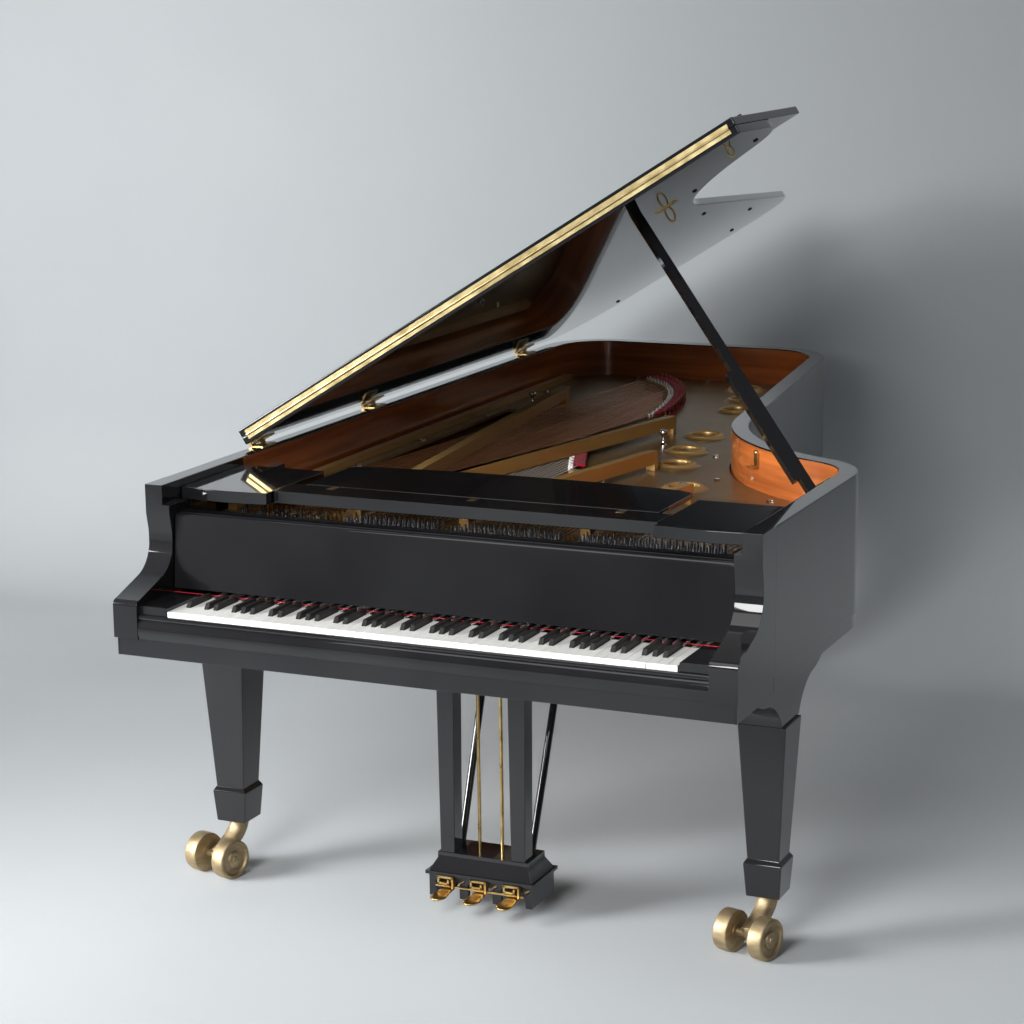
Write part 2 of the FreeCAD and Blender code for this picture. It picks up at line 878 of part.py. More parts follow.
def bridge_place(note):
    """Where a note's string crosses its bridge."""
    if note < SECTION_STARTS[0]:
        return bass_bridge_place(note / (SECTION_STARTS[0] - 1))
    steps = (NOTE_STEPS - note) / (NOTE_STEPS - SECTION_STARTS[0])
    growth = d.tenor_string_length / d.top_string_length
    return (note_place(note), agraffe_y + d.top_string_length * growth ** steps)


def string_end(note):
    return vector(*bridge_place(note), 0)


def string_level(note):
    lift = d.bass_string_lift.value if note < SECTION_STARTS[0] else 0
    return string_z.value + lift


def string_ends(note):
    """The tuning pin and hitch pin ends of a note's string, at its level."""
    level = FreeCAD.Vector(0, 0, string_level(note))
    front = FreeCAD.Vector(note_x(note), agraffe_y.value, 0)
    bridge = string_end(note)
    along = (bridge - front).normalize()
    setback = d.tuning_pin_setback.value + d.tuning_pin_step.value * (note % TUNING_ROWS)
    pin = front - along * setback
    hitch = bridge + along * hitch_reach(note)
    return pin + level, hitch + level


def hitch_reach(note):
    """The string's tail past the bridge, shorter in the treble but always over the plate's web."""
    shortest = d.opening_margin.value + d.hitch_margin.value
    return shortest + (d.hitch_tail.value - shortest) * (NOTES - note) / NOTES


def strings(label, notes, radius):
    return feature(label, [bar_between(*string_ends(note), radius.value) for note in notes])


def tuning_pins():
    pins = []
    for note in range(NOTES):
        end = string_ends(note)[0]
        radius = d.tuning_pin_radius.value
        gap = radius + d.bass_string_radius.value + d.running_gap.value
        base = FreeCAD.Vector(end.x, end.y - gap, plate_top.value)
        height = end.z - base.z + d.tuning_pin_rise.value
        pins.append(Part.makeCylinder(radius, height, base))
    return feature("tuning_pins", pins)


def string_pins():
    """Brass agraffes that guide the strings and steel pins that their tails hook on."""
    pieces = []
    half = d.agraffe_width.value / 2
    for note in range(NOTES):
        radius = d.bass_string_radius.value if note < SECTION_STARTS[0] else d.treble_string_radius.value
        under = string_level(note) - radius - d.running_gap.value
        low = (note_x(note) - half, agraffe_y.value, plate_top.value)
        pieces.append(block(low, (half * 2, d.agraffe_depth.value, under - plate_top.value)))
        pin, hitch = string_ends(note)
        past = (hitch - pin).normalize() * (d.hitch_pin_radius.value + d.running_gap.value)
        foot = FreeCAD.Vector(hitch.x + past.x, hitch.y + past.y, plate_top.value)
        height = hitch.z - foot.z + d.hitch_pin_rise.value
        pieces.append(Part.makeCylinder(d.hitch_pin_radius.value, height, foot))
    return feature("string_pins", pieces)


def bridge(label, notes, radius):
    """A curved hardwood bar under the strings, its width taken square to the string."""
    half = FreeCAD.Vector(0, d.bridge_width.value / 2, 0)
    points = [string_end(note) for note in notes]
    level = soundboard_top.value
    rise = FreeCAD.Vector(0, 0, string_level(notes[0]) - radius.value - d.running_gap.value - level)
    near = [point - half for point in points]
    far = [point + half for point in reversed(points)]
    corners = [FreeCAD.Vector(point.x, point.y, level) for point in near + far]
    face = Part.Face(Part.makePolygon(corners + corners[:1]))
    return feature(label, [face.extrude(rise)])


def strut_front(index):
    """The strut that stands in a section break starts at the plate's front web."""
    note = SECTION_STARTS[index]
    breaks = index + 0.5
    return string_pitch * (note - 0.5) + d.section_break * breaks - strings_half


def iron_plate():
    """The cast plate: a web with a wide opening, ringed holes and raised struts over the strings."""
    body = new_body("iron_plate")
    front = d.arm_back + d.plate_front_gap
    pad(body, "XY_Plane", case_path(d.plate_inset, front), plate_bottom, d.plate_thickness)
    pocket(body, "XY_Plane", string_opening(), plate_top, d.plate_thickness + d.overrun)
    pocket(body, "XY_Plane", bass_slot(), plate_top, d.plate_thickness + d.overrun)
    centres = [plan_share(share) for share in PLATE_HOLE_SHARES]
    outer = d.plate_hole_radius + d.plate_ring_width
    pad(body, "XY_Plane", [], plate_top, d.plate_ring_rise, [(*centre, outer) for centre in centres])
    ring_top = plate_top + d.plate_ring_rise
    depth = d.plate_thickness + d.plate_ring_rise + d.overrun
    pocket(body, "XY_Plane", [], ring_top, depth, [(*centre, d.plate_hole_radius) for centre in centres])
    half = d.strut_width / 2
    low = string_z + d.strut_lift
    foot_back = opening_front()
    foot_front = foot_back - d.strut_foot
    bend_y = agraffe_y + d.strut_bend_setback
    rib_x = d.plate_inset - d.half_width + d.spine_rib_width / 2
    rib = rectangle(rib_x, foot_front, rib_x + d.spine_rib_width, d.case_length - d.spine_corner_radius)
    pad(body, "XY_Plane", rib, plate_top, d.spine_rib_rise)
    for index, share in enumerate(STRUT_ENDS_SHARES):
        start = strut_front(index)
        end_x, end_y = plan_share(share)
        back = end_y + d.strut_foot
        front_foot = rectangle(start - half, foot_front, start + half, foot_back)
        pad(body, "XY_Plane", front_foot, plate_top, low - plate_top)
        back_foot = rectangle(end_x - half, end_y, end_x + half, back)
        pad(body, "XY_Plane", back_foot, plate_top, low - plate_top)
        lean = d.strut_width * STRUT_LEAN_SHARES[index]
        span = [
            (start - half, foot_front),
            (start + half, foot_front),
            (start + half + lean, bend_y),
            (end_x + half, back),
            (end_x - half, back),
            (start - half + lean, bend_y),
        ]
        pad(body, "XY_Plane", span, low, d.strut_height)
    high = low + d.bass_string_lift + d.strut_lift
    end_x = d.branch_side - opening_half
    end_y = opening_back() + d.branch_end_setback
    back = end_y + d.strut_foot
    pad(body, "XY_Plane", rectangle(end_x - half, end_y, end_x + half, back), plate_top, high - plate_top)
    start = strut_front(0) + d.strut_width
    near = agraffe_y + d.branch_setback
    branch = [
        (start - half, near),
        (start + half, near + d.strut_width),
        (end_x + half, back),
        (end_x - half, back),
    ]
    pad(body, "XY_Plane", branch, high, d.strut_height)
    return body


def opening_front():
    """The opening for the strings starts just behind the agraffes."""
    return agraffe_y + d.agraffe_depth + d.strut_foot


def opening_back():
    """The back edge of the opening, behind the treble bridge's longest string."""
    return bridge_place(SECTION_STARTS[0])[1] + d.opening_margin


def string_opening():
    """The wide opening over the soundboard, following the treble bridge at a set margin."""
    path = [(-opening_half, opening_front()), (opening_half, opening_front())]
    for note in OPENING_NOTES:
        x, y = bridge_place(note)
        path.append((opening_half if note == OPENING_NOTES[0] else x, y + d.opening_margin))
    path.append((-opening_half, opening_back()))
    return path


def bass_slot():
    """The slot round the bass bridge."""
    places = [bass_bridge_place(step / BASS_SLOT_STEPS) for step in range(BASS_SLOT_STEPS + 1)]
    near = [(x, y - d.opening_margin) for x, y in places]
    far = [(x, y + d.opening_margin) for x, y in places]
    return near + far[::-1]


def pin_block():
    front = d.arm_back + d.plate_front_gap
    back = agraffe_y - d.agraffe_depth
    return box(
        "pin_block",
        (-inner_half, front, plate_bottom - d.pin_block_thickness),
        (inner_half * 2, back - front, d.pin_block_thickness),
    )


def between(start, end, share):
    return (start[0] + (end[0] - start[0]) * share, start[1] + (end[1] - start[1]) * share)


def bolt_places():
    """The plate's bolts stand at a set inset from its edge, round from the right side to the spine."""
    inset = d.plate_inset + d.plate_bolt_inset
    corners = case_path(inset, d.arm_back + d.plate_front_gap)
    places = [between(corners[0], corners[1], share) for share in RIGHT_BOLT_SHARES]
    bend_cos, bend_sin = cosine(d.bend_turn_angle), sine(d.bend_turn_angle)
    centre_x = d.half_width - d.bend_radius * (1 - bend_cos) + d.waist_radius * bend_cos
    centre_y = d.bend_start + (d.bend_radius + d.waist_radius) * bend_sin
    for share in WAIST_BOLT_SHARES:
        heading = d.bend_turn_angle + (d.tail_heading_angle - d.bend_turn_angle) * share
        reach = d.waist_radius + inset
        places.append((centre_x - reach * cosine(heading), centre_y - reach * sine(heading)))
    places += [between(corners[3], corners[4], share) for share in TREBLE_BOLT_SHARES]
    places += [between(corners[5], corners[6], share) for share in TAIL_BOLT_SHARES]
    places += [between(corners[7], corners[8], share) for share in SPINE_BOLT_SHARES]
    return places


def nose_bolt_places():
    """One nose bolt behind the opening's bass corner, the others on the web beside the treble."""
    corner = (d.nose_bolt_side - opening_half, opening_back() + d.nose_bolt_setback)
    return [corner] + [plan_share(share) for share in NOSE_BOLT_SHARES]


def plate_bolts():
    """Bolt heads round the plate's edge, the dowels they stand over, and the tall nose bolts."""
    pieces = []
    for i, (x, y) in enumerate(bolt_places()):
        pieces.append(cylinder(f"bolt_head_{i}", (x, y, plate_top), d.plate_bolt_radius, d.plate_bolt_rise))
        if y.value > d.soundboard_front.value:
            dowel = plate_bottom - soundboard_top
            pieces.append(cylinder(f"plate_dowel_{i}", (x, y, soundboard_top), d.plate_bolt_radius, dowel))
    for i, (x, y) in enumerate(nose_bolt_places()):
        shank = cylinder(f"nose_shank_{i}", (x, y, plate_top), d.nose_bolt_radius, d.nose_bolt_rise)
        knob_base = plate_top + d.nose_bolt_rise
        knob = cylinder(f"nose_knob_{i}", (x, y, knob_base), d.nose_knob_radius, d.plate_bolt_rise)
        pieces.append(fuse(f"nose_bolt_{i}", [shank, knob]))
    return group("plate_bolts", pieces)


def string_felt():
    """Woven felt on the plate under the string tails: a wide strip in the bass, a narrow one in the tenor."""
    strips = []
    level = plate_top.value
    gap = d.felt_setback.value
    for notes, width in (
        (range(SECTION_STARTS[0]), d.felt_width.value),
        (TENOR_FELT_NOTES, d.felt_width.value / 2),
    ):
        points = [string_ends(note)[1] for note in notes]
        near = [FreeCAD.Vector(point.x, point.y - gap - width, level) for point in points]
        far = [FreeCAD.Vector(point.x, point.y - gap, level) for point in reversed(points)]
        face = Part.Face(Part.makePolygon(near + far + near[:1]))
        strips.append(face.extrude(FreeCAD.Vector(0, 0, d.felt_thickness.value)))
    return feature("string_felt", strips)


# The keyboard and action.
def is_sharp(note):
    return (note + LOWEST_STEP) % 12 in SHARP_STEPS


def natural_left(note):
    """The left edge of the natural at or just above a note."""
    below = sum(1 for lower in range(note) if not is_sharp(lower))
    return below * natural_pitch.value - keys_half.value


def tail_middle(note):
    """The middle of a key's tail: a sharp's own middle, or the room left between the sharps beside it."""
    left = natural_left(note)
    if is_sharp(note):
        return left
    side = d.sharp_width.value / 2
    right = left + natural_pitch.value
    if note > 0 and is_sharp(note - 1):
        left += side
    if note < NOTES - 1 and is_sharp(note + 1):
        right -= side
    return (left + right) / 2


def key_lever(note):
    """The wooden lever that carries a key back over the balance rail."""
    width = d.key_lever_width.value
    height = d.key_lever_height.value
    start = fall_front.value - height
    low = (tail_middle(note) - width / 2, start, key_top.value - d.key_lever_drop.value - height)
    return block(low, (width, d.key_front.value + d.key_length.value - start, height))


def sharp_box(note, grow):
    """The room of a sharp above the naturals, grown sideways by a clearance."""
    half = d.sharp_width.value / 2 + grow
    middle = natural_left(note)
    front = d.key_front.value + d.natural_head.value - grow
    length = d.natural_length.value - d.natural_head.value + grow
    bottom = key_top.value - d.natural_thickness.value
    height = d.natural_thickness.value + d.sharp_rise.value
    return block((middle - half, front, bottom), (half * 2, length, height))


def white_keys():
    keys = []
    gap = d.key_gap.value
    width = natural_pitch.value - gap
    bottom = key_top.value - d.natural_thickness.value
    for note in range(NOTES):
        if is_sharp(note):
            continue
        left = natural_left(note) + gap / 2
        size = (width, d.natural_length.value, d.natural_thickness.value)
        body = block((left, d.key_front.value, bottom), size)
        for near in (note - 1, note + 1):
            if 0 <= near < NOTES and is_sharp(near):
                body = body.cut(sharp_box(near, d.sharp_clearance.value))
        keys.append(body.fuse(key_lever(note)).removeSplitter())
    return feature("white_keys", keys)


def black_keys():
    keys = []
    for note in range(NOTES):
        if not is_sharp(note):
            continue
        room = sharp_box(note, 0)
        bounds = room.BoundBox
        slope = d.sharp_slope.value
        side = [
            FreeCAD.Vector(bounds.XMin, bounds.YMin, key_top.value),
            FreeCAD.Vector(bounds.XMin, bounds.YMin, bounds.ZMax),
            FreeCAD.Vector(bounds.XMin, bounds.YMin + slope, bounds.ZMax),
        ]
        face = Part.Face(Part.makePolygon(side + side[:1]))
        sharp = room.cut(face.extrude(FreeCAD.Vector(bounds.XLength, 0, 0)))
        keys.append(sharp.fuse(key_lever(note)).removeSplitter())
    return feature("black_keys", keys)


def key_frame():
    """The frame that slides on the key bed, with the balance rail that the keys rock on."""
    half = keys_half + d.action_bracket_width + d.key_frame_inset
    back = d.key_front + d.key_length
    start = fall_front + d.running_gap
    base_z = bed_top + d.running_gap
    narrow = keys_half - d.key_frame_inset
    path = [
        (-narrow, d.key_frame_front),
        (narrow, d.key_frame_front),
        (narrow, start),
        (half, start),
        (half, back),
        (-half, back),
        (-half, start),
        (-narrow, start),
    ]
    body = prism("key_frame", "XY_Plane", path, base_z, d.key_frame_thickness)
    rail_y = d.key_front + d.balance_reach - d.balance_rail_width / 2
    rail_top = key_top - d.key_lever_drop - d.key_lever_height - d.running_gap
    rail = rectangle(-narrow, rail_y, narrow, rail_y + d.balance_rail_width)
    frame_top = base_z + d.key_frame_thickness
    pad(body, "XY_Plane", rail, frame_top, rail_top - frame_top)
    return body


def action_rails():
    """The action's end brackets and the long rail that carries the hammer flanges."""
    half = keys_half + d.action_bracket_width + d.key_frame_inset
    frame_top = bed_top + d.running_gap + d.key_frame_thickness
    rail_top = bed_top + d.hammer_pivot_rise - d.hammer_shank / 2 - d.running_gap
    rail_y = hammer_y - d.hammer_rail_width / 2
    rail = box(
        "hammer_rail",
        (-half, rail_y, rail_top - d.hammer_rail_height),
        (half * 2, d.hammer_rail_width, d.hammer_rail_height),
    )
    pieces = [rail]
    for label, low_x in (("left", -half), ("right", half - d.action_bracket_width)):
        low = (low_x, hammer_y - d.action_bracket_depth / 2, frame_top)
        tall = rail_top - d.hammer_rail_height / 2 - frame_top
        size = (d.action_bracket_width, d.action_bracket_depth, tall)
        pieces.append(box(f"{label}_action_bracket", low, size))
    return fuse("action_rails", pieces)


def hammers(label, notes):
    """Hammers on their shanks, hinged at the rail and striking up behind the agraffes."""
    pieces = []
    level = bed_top.value + d.hammer_pivot_rise.value
    pivot = hammer_y.value
    shank = d.hammer_shank.value
    width = d.hammer_width.value
    head = d.hammer_head_length.value
    for note in notes:
        x = note_x(note)
        reach = d.hammer_reach.value
        stick = block((x - shank / 2, pivot, level - shank / 2), (shank, reach, shank))
        low = (x - width / 2, pivot + reach - head / 2, level - d.hammer_head_drop.value)
        tall = d.hammer_head_drop.value + d.hammer_head_rise.value
        pieces.append(stick.fuse(block(low, (width, head, tall))).removeSplitter())
    return feature(label, pieces)


def dampers():
    """Damper heads that rest on the strings behind the hammers."""
    pieces = []
    for note in range(DAMPER_NOTES):
        start, end = string_ends(note)
        along = (end - start).normalize()
        place = start + along * ((agraffe_y.value + d.damper_setback.value - start.y) / along.y)
        radius = d.bass_string_radius.value if note < SECTION_STARTS[0] else d.treble_string_radius.value
        low = (
            place.x - d.damper_width.value / 2,
            place.y - d.damper_length.value / 2,
            place.z + radius + d.running_gap.value,
        )
        pieces.append(block(low, (d.damper_width.value, d.damper_length.value, d.damper_height.value)))
    return feature("dampers", pieces)


# The lid, in a frame whose X runs up the lid from the hinge line and whose Z is square to it.
def lid_path(front):
    return [(corner[0] - lid_x,) + corner[1:] for corner in case_path(-d.lid_overhang, front, ZERO)]


def lid_main():
    return prism("lid_main", "XY_Plane", lid_path(d.flap_line), ZERO, d.lid_thickness, in_lid=True)


def flap_right():
    return d.half_width + d.lid_overhang - lid_x


def lid_flap():
    """The front flap, folded back flat on top of the lid."""
    path = rectangle(d.lid_hinge_out, d.flap_line, flap_right(), d.flap_line + d.flap_depth)
    return prism("lid_flap", "XY_Plane", path, d.lid_thickness + d.flap_gap, d.lid_thickness, in_lid=True)


def flap_axis():
    """Where the long hinge's pin lies in the section of the lid: distance along the case and height."""
    stand_off = d.flap_knuckle_radius + d.running_gap + d.pin_clearance
    return (d.flap_line - stand_off, d.lid_thickness + d.flap_gap / 2)


def flap_leaf(label, upper):
    """One leaf of the long hinge: a strip on the edge, tabs, and its share of the knuckles."""
    body = new_body(label, in_lid=True)
    axis_y, axis_n = flap_axis()
    start = d.lid_hinge_out + d.flap_hinge_inset
    length = flap_right() - d.flap_hinge_inset - start
    step = length / KNUCKLE_COUNT
    clear = d.flap_knuckle_radius + d.running_gap
    bore = d.flap_knuckle_radius / 2
    pin = bore - d.pin_clearance
    face = d.flap_line - d.flap_leaf_thickness
    near, far = axis_n + clear, axis_n + clear + d.flap_leaf_width - d.flap_knuckle_radius
    tab = axis_n + bore + d.pin_clearance / 2
    if not upper:
        near, far, tab = axis_n * 2 - far, axis_n * 2 - near, axis_n * 2 - tab
    pad(body, "YZ_Plane", rectangle(face, near, d.flap_line, far), start, length)
    ring = [(axis_y, axis_n, d.flap_knuckle_radius)]
    if upper:
        ring.append((axis_y, axis_n, bore))
    for index in range(1 if upper else 0, KNUCKLE_COUNT, 2):
        first = start + step * index + d.running_gap / 2
        low, high = (tab, near + d.running_gap) if upper else (far - d.running_gap, tab)
        width = step - d.running_gap
        pad(body, "YZ_Plane", rectangle(axis_y, low, d.flap_line - d.running_gap, high), first, width)
        pad(body, "YZ_Plane", [], first, width, ring)
    if not upper:
        pad(body, "YZ_Plane", [], start, length, [(axis_y, axis_n, pin)])
    return body


def along_case(low, high):
    """Start and depth of a pad that fills a stretch along the case."""
    return -high, high - low


def rim_hinge(index, middle):
    """The half of a lid hinge that lies on the rim, with its two knuckles and the pin."""
    body = new_body(f"rim_hinge_{index}")
    half = d.lid_hinge_length / 2
    third = d.lid_hinge_length * LID_HINGE_PIN_SHARE
    leaf_top = rim_top + d.lid_hinge_leaf
    edge = -d.half_width
    whole = along_case(middle - half, middle + half)
    pad(body, "XZ_Plane", rectangle(edge, rim_top, edge + d.lid_hinge_leaf_width, leaf_top), *whole)
    for low, high in ((middle - half, middle - half + third), (middle + half - third, middle + half)):
        stretch = along_case(low, high)
        pad(body, "XZ_Plane", rectangle(lid_x, rim_top, edge + d.overrun, leaf_top), *stretch)
        pad(body, "XZ_Plane", [], *stretch, [(lid_x, lid_z, d.lid_hinge_knuckle)])
    pad(body, "XZ_Plane", [], *whole, [(lid_x, lid_z, d.lid_hinge_knuckle / 2 - d.pin_clearance)])
    return body


def lid_hinge(index, middle):
    """The half of a lid hinge screwed under the lid, with its middle knuckle."""
    body = new_body(f"lid_hinge_{index}", in_lid=True)
    half = d.lid_hinge_length / 2
    inner = half - d.lid_hinge_length * LID_HINGE_PIN_SHARE - d.running_gap
    bore = d.lid_hinge_knuckle / 2
    far = d.lid_hinge_out + d.lid_hinge_leaf_width
    whole = along_case(middle - half, middle + half)
    pad(body, "XZ_Plane", rectangle(d.lid_hinge_out, -d.lid_hinge_leaf, far, ZERO), *whole)
    stretch = along_case(middle - inner, middle + inner)
    tab = rectangle(bore + d.running_gap, -d.lid_hinge_leaf, d.lid_hinge_out + d.overrun, ZERO)
    pad(body, "XZ_Plane", tab, *stretch)
    pad(body, "XZ_Plane", [], *stretch, [(ZERO, ZERO, d.lid_hinge_knuckle), (ZERO, ZERO, bore)])
    return body


def lid_hinges(label, make):
    places = [d.case_length * share for share in LID_HINGE_SHARES]
    return group(label, [make(index, place) for index, place in enumerate(places)])


# The prop, in a frame whose Z runs up the stick and whose X is its fold axis.
prop_z = rim_top - d.prop_pivot_drop
PROP_PIVOT = vector(inner_half - d.prop_pivot_inset, d.bend_start - d.prop_pivot_setback, prop_z)
PROP_TIP = vector(lid_x + d.prop_tip_u * lid_cos, d.prop_tip_y, lid_z + d.prop_tip_u * lid_sin)
PROP_LENGTH = as_size((PROP_TIP - PROP_PIVOT).Length)
PROP_UP = (PROP_TIP - PROP_PIVOT).normalize()
PROP_FLAT = FreeCAD.Vector(*PROP_FOLD_SHARES, 0).normalize()
PROP_AXIS = PROP_UP.cross(PROP_FLAT).normalize()
PROP_TURN = FreeCAD.Rotation(PROP_AXIS, PROP_UP.cross(PROP_AXIS), PROP_UP, "ZXY")
ALONG_AXIS = FreeCAD.Rotation(FreeCAD.Vector(0, 1, 0), 90)


def prop_place(x, y, z):
    place = PROP_PIVOT + PROP_TURN.multVec(vector(x, y, z))
    return (as_size(place.x), as_size(place.y), as_size(place.z))


def prop_box(label, low, size):
    return box(label, prop_place(*low), size, PROP_TURN)


def prop_pin(label, low, high, z, radius):
    """A round bar along the fold axis at a height on the stick."""
    return cylinder(label, prop_place(low, 0, z), radius, high - low, PROP_TURN.multiply(ALONG_AXIS))


def short_pin_height():
    return d.short_prop_start + d.prop_width / 2


def lid_prop():
    """The long stick: its head is cut to the slope of the lid and it carries the short prop's pin."""
    half = d.prop_thickness / 2
    length = PROP_LENGTH + d.prop_width * 2
    size = (d.prop_thickness, d.prop_width, length)
    stick = prop_box("prop_stick", (-half, -d.prop_width / 2, -d.prop_ear), size)
    above = box(
        "above_lid",
        (lid_x + d.running_gap * lid_sin, ZERO, lid_z - d.running_gap * lid_cos),
        (flap_right(), d.case_length, d.prop_width * 4),
        FreeCAD.Rotation(FreeCAD.Vector(0, -1, 0), d.lid_angle.value),
    )
    radius = d.prop_pin_radius + d.pin_clearance
    bore = prop_pin("prop_bore", -d.prop_thickness, d.prop_thickness, ZERO, radius)
    shaped = cut("prop_bored", cut("prop_trimmed", stick, above), bore)
    reach = half + d.short_prop_thickness + d.running_gap * 2
    pin = prop_pin("short_prop_pin", ZERO, reach, short_pin_height(), d.short_prop_pin_radius)
    return fuse("lid_prop", [shaped, pin])


def short_prop():
    """The short stick for the low lid position, lying against the long one."""
    low = d.prop_thickness / 2 + d.running_gap
    size = (d.short_prop_thickness, d.prop_width, d.short_prop_length)
    stick = prop_box("short_stick", (low, -d.prop_width / 2, d.short_prop_start), size)
    radius = d.short_prop_pin_radius + d.pin_clearance
    reach = low + d.short_prop_thickness + d.overrun
    bore = prop_pin("short_bore", low - d.overrun, reach, short_pin_height(), radius)
    return cut("short_prop", stick, bore)


def prop_bracket():
    """A boss that grows square to the stick from a plate on the rim, with the pin that the stick turns on."""
    side = d.prop_thickness / 2 + d.running_gap
    reach = side + d.prop_bracket_reach
    boss = prop_pin("bracket_boss", -reach, -side, ZERO, d.prop_bracket_radius)
    pin = prop_pin("bracket_pin", -reach, d.prop_thickness / 2, ZERO, d.prop_pin_radius)
    run = (inner_half.value - PROP_PIVOT.x) / -PROP_AXIS.x
    foot = PROP_PIVOT - PROP_AXIS * run
    plate = box(
        "bracket_plate",
        (
            inner_half - d.prop_bracket_plate,
            as_size(foot.y) - d.prop_bracket_width / 2,
            rim_top - d.prop_bracket_height,
        ),
        (d.prop_bracket_plate, d.prop_bracket_width, d.prop_bracket_height - d.running_gap),
    )
    beyond = box(
        "beyond_rim_face",
        (inner_half, ZERO, d.case_bottom),
        (d.half_width, d.case_length, d.rim_height * 2),
    )
    whole = fuse("bracket_whole", [boss, pin, plate])
    return cut("prop_bracket", whole, beyond)


def prop_hook():
    """A brass angle on the rim's inner face under the folded prop."""
    turn = FreeCAD.Rotation(UP, d.prop_hook_angle.value)
    bend_cos, bend_sin = cosine(d.bend_turn_angle), sine(d.bend_turn_angle)
    hook_cos, hook_sin = cosine(d.prop_hook_angle), sine(d.prop_hook_angle)
    reach = d.waist_radius + d.rim_thickness
    centre_x = d.half_width - d.bend_radius * (1 - bend_cos) + d.waist_radius * bend_cos
    centre_y = d.bend_start + d.bend_radius * bend_sin + d.waist_radius * bend_sin
    pieces = []
    base = rim_top - d.prop_hook_drop - d.prop_hook_height
    half = d.prop_hook_width / 2
    for label, depth, height in (
        ("hook_plate", d.prop_hook_thickness, d.prop_hook_height),
        ("hook_finger", d.prop_hook_reach, d.prop_hook_thickness),
    ):
        out = reach + depth
        x = centre_x - out * hook_cos + half * hook_sin
        y = centre_y - out * hook_sin - half * hook_cos
        pieces.append(box(label, (x, y, base), (depth, d.prop_hook_width, height), turn))
    return fuse("prop_hook", pieces)


def prop_socket():
    """The brass plate under the lid beside the prop's head."""
    half_length = d.prop_socket_length / 2
    half_width = d.prop_socket_width / 2
    path = rectangle(
        d.prop_tip_u - half_length,
        d.prop_socket_y - half_width,
        d.prop_tip_u + half_length,
        d.prop_socket_y + half_width,
    )
    thickness = d.prop_socket_thickness
    return prism("prop_socket", "XY_Plane", path, -thickness, thickness, in_lid=True)


# The music desk.
shelf_back = d.shelf_front + d.shelf_depth
desk_front = shelf_back + d.desk_pivot_gap
desk_bottom = shelf_top - d.desk_thickness


def desk_leaf_lefts():
    return [shelf_half * share - d.desk_hinge_length / 2 for share in DESK_HINGE_SHARES]


def music_shelf():
    """The ledge, the bar under it that carries the wings, and the two rests for the folded desk."""
    body = new_body("music_shelf")
    half = shelf_half
    ledge = rectangle(-half, d.shelf_front, half, shelf_back)
    pad(body, "XY_Plane", ledge, shelf_bottom, d.shelf_thickness)
    bar_half = cheek_half - d.wing_side_gap
    bar_front = d.shelf_front + d.shelf_bar_setback
    bar = rectangle(-bar_half, bar_front, bar_half, bar_front + d.shelf_bar_depth)
    pad(body, "XY_Plane", bar, shelf_bottom - d.shelf_bar_height, d.shelf_bar_height)
    outer = desk_half - d.desk_shoulder
    inner = outer - d.desk_rest_width
    rest_back = desk_front + d.desk_height - d.desk_shoulder
    for low, high in ((-outer, -inner), (inner, outer)):
        rest = rectangle(low, shelf_back - d.overrun, high, rest_back)
        pad(body, "XY_Plane", rest, shelf_bottom, desk_bottom - d.running_gap - shelf_bottom)
    for low_x in desk_leaf_lefts():
        high_x = low_x + d.desk_hinge_length
        recess = rectangle(low_x, shelf_back - d.desk_hinge_width, high_x, shelf_back + d.overrun)
        pocket(body, "XY_Plane", recess, shelf_top, d.desk_hinge_thickness)
    return body


def wing(label, side):
    """A side board of the music shelf with a bowed front edge."""
    inner = shelf_half + d.wing_gap
    outer = inner_half - d.wing_side_gap
    back = d.wing_front + d.wing_depth
    if side > 0:
        low, high = inner, outer
    else:
        low, high = -outer, -inner
    path = [
        (low, back),
        (low, d.wing_front),
        (high, d.wing_front, d.wing_bow_radius),
        (high, back),
    ]
    return prism(label, "XY_Plane", path, shelf_bottom, d.shelf_thickness)


def music_wings():
    return group("music_wings", [wing("left_wing", -1), wing("right_wing", 1)])


def music_desk():
    """The panel that holds the music, folded flat, with cut-in shoulders and a bowed top edge."""
    half = desk_half
    top = desk_front + d.desk_height
    shoulder = top - d.desk_shoulder
    path = [
        (-half, desk_front),
        (half, desk_front),
        (half, shoulder),
        (half - d.desk_shoulder, shoulder + d.desk_shoulder / 2),
        (d.desk_shoulder - half, shoulder + d.desk_shoulder / 2, d.desk_bow_radius),
        (-half, shoulder),
    ]
    return prism("music_desk", "XY_Plane", path, desk_bottom, d.desk_thickness)


def desk_hinges():
    """Brass leaves let into the back of the ledge, with the knuckles that the desk turns on behind it."""
    pieces = []
    for index, low_x in enumerate(desk_leaf_lefts()):
        front = shelf_back - d.desk_hinge_width
        low = (low_x, front, shelf_top - d.desk_hinge_thickness)
        axis_y = shelf_back + d.desk_pivot_gap / 2
        size = (d.desk_hinge_length, axis_y - front, d.desk_hinge_thickness)
        leaf = box(f"desk_leaf_{index}", low, size)
        middle = (low_x, axis_y, shelf_top - d.desk_knuckle_radius)
        name = f"desk_knuckle_{index}"
        knuckle = cylinder(name, middle, d.desk_knuckle_radius, d.desk_hinge_length, ALONG_AXIS)
        pieces.append(fuse(f"desk_hinge_{index}", [leaf, knuckle]))
    return group("desk_hinges", pieces)


# Legs and casters.
LEGS = (
    ("left", -leg_x, d.leg_y),
    ("right", leg_x, d.leg_y),
    ("tail", *plan_share(TAIL_LEG_SHARES)),
)
cuff_bottom = d.cuff_top - d.cuff_height


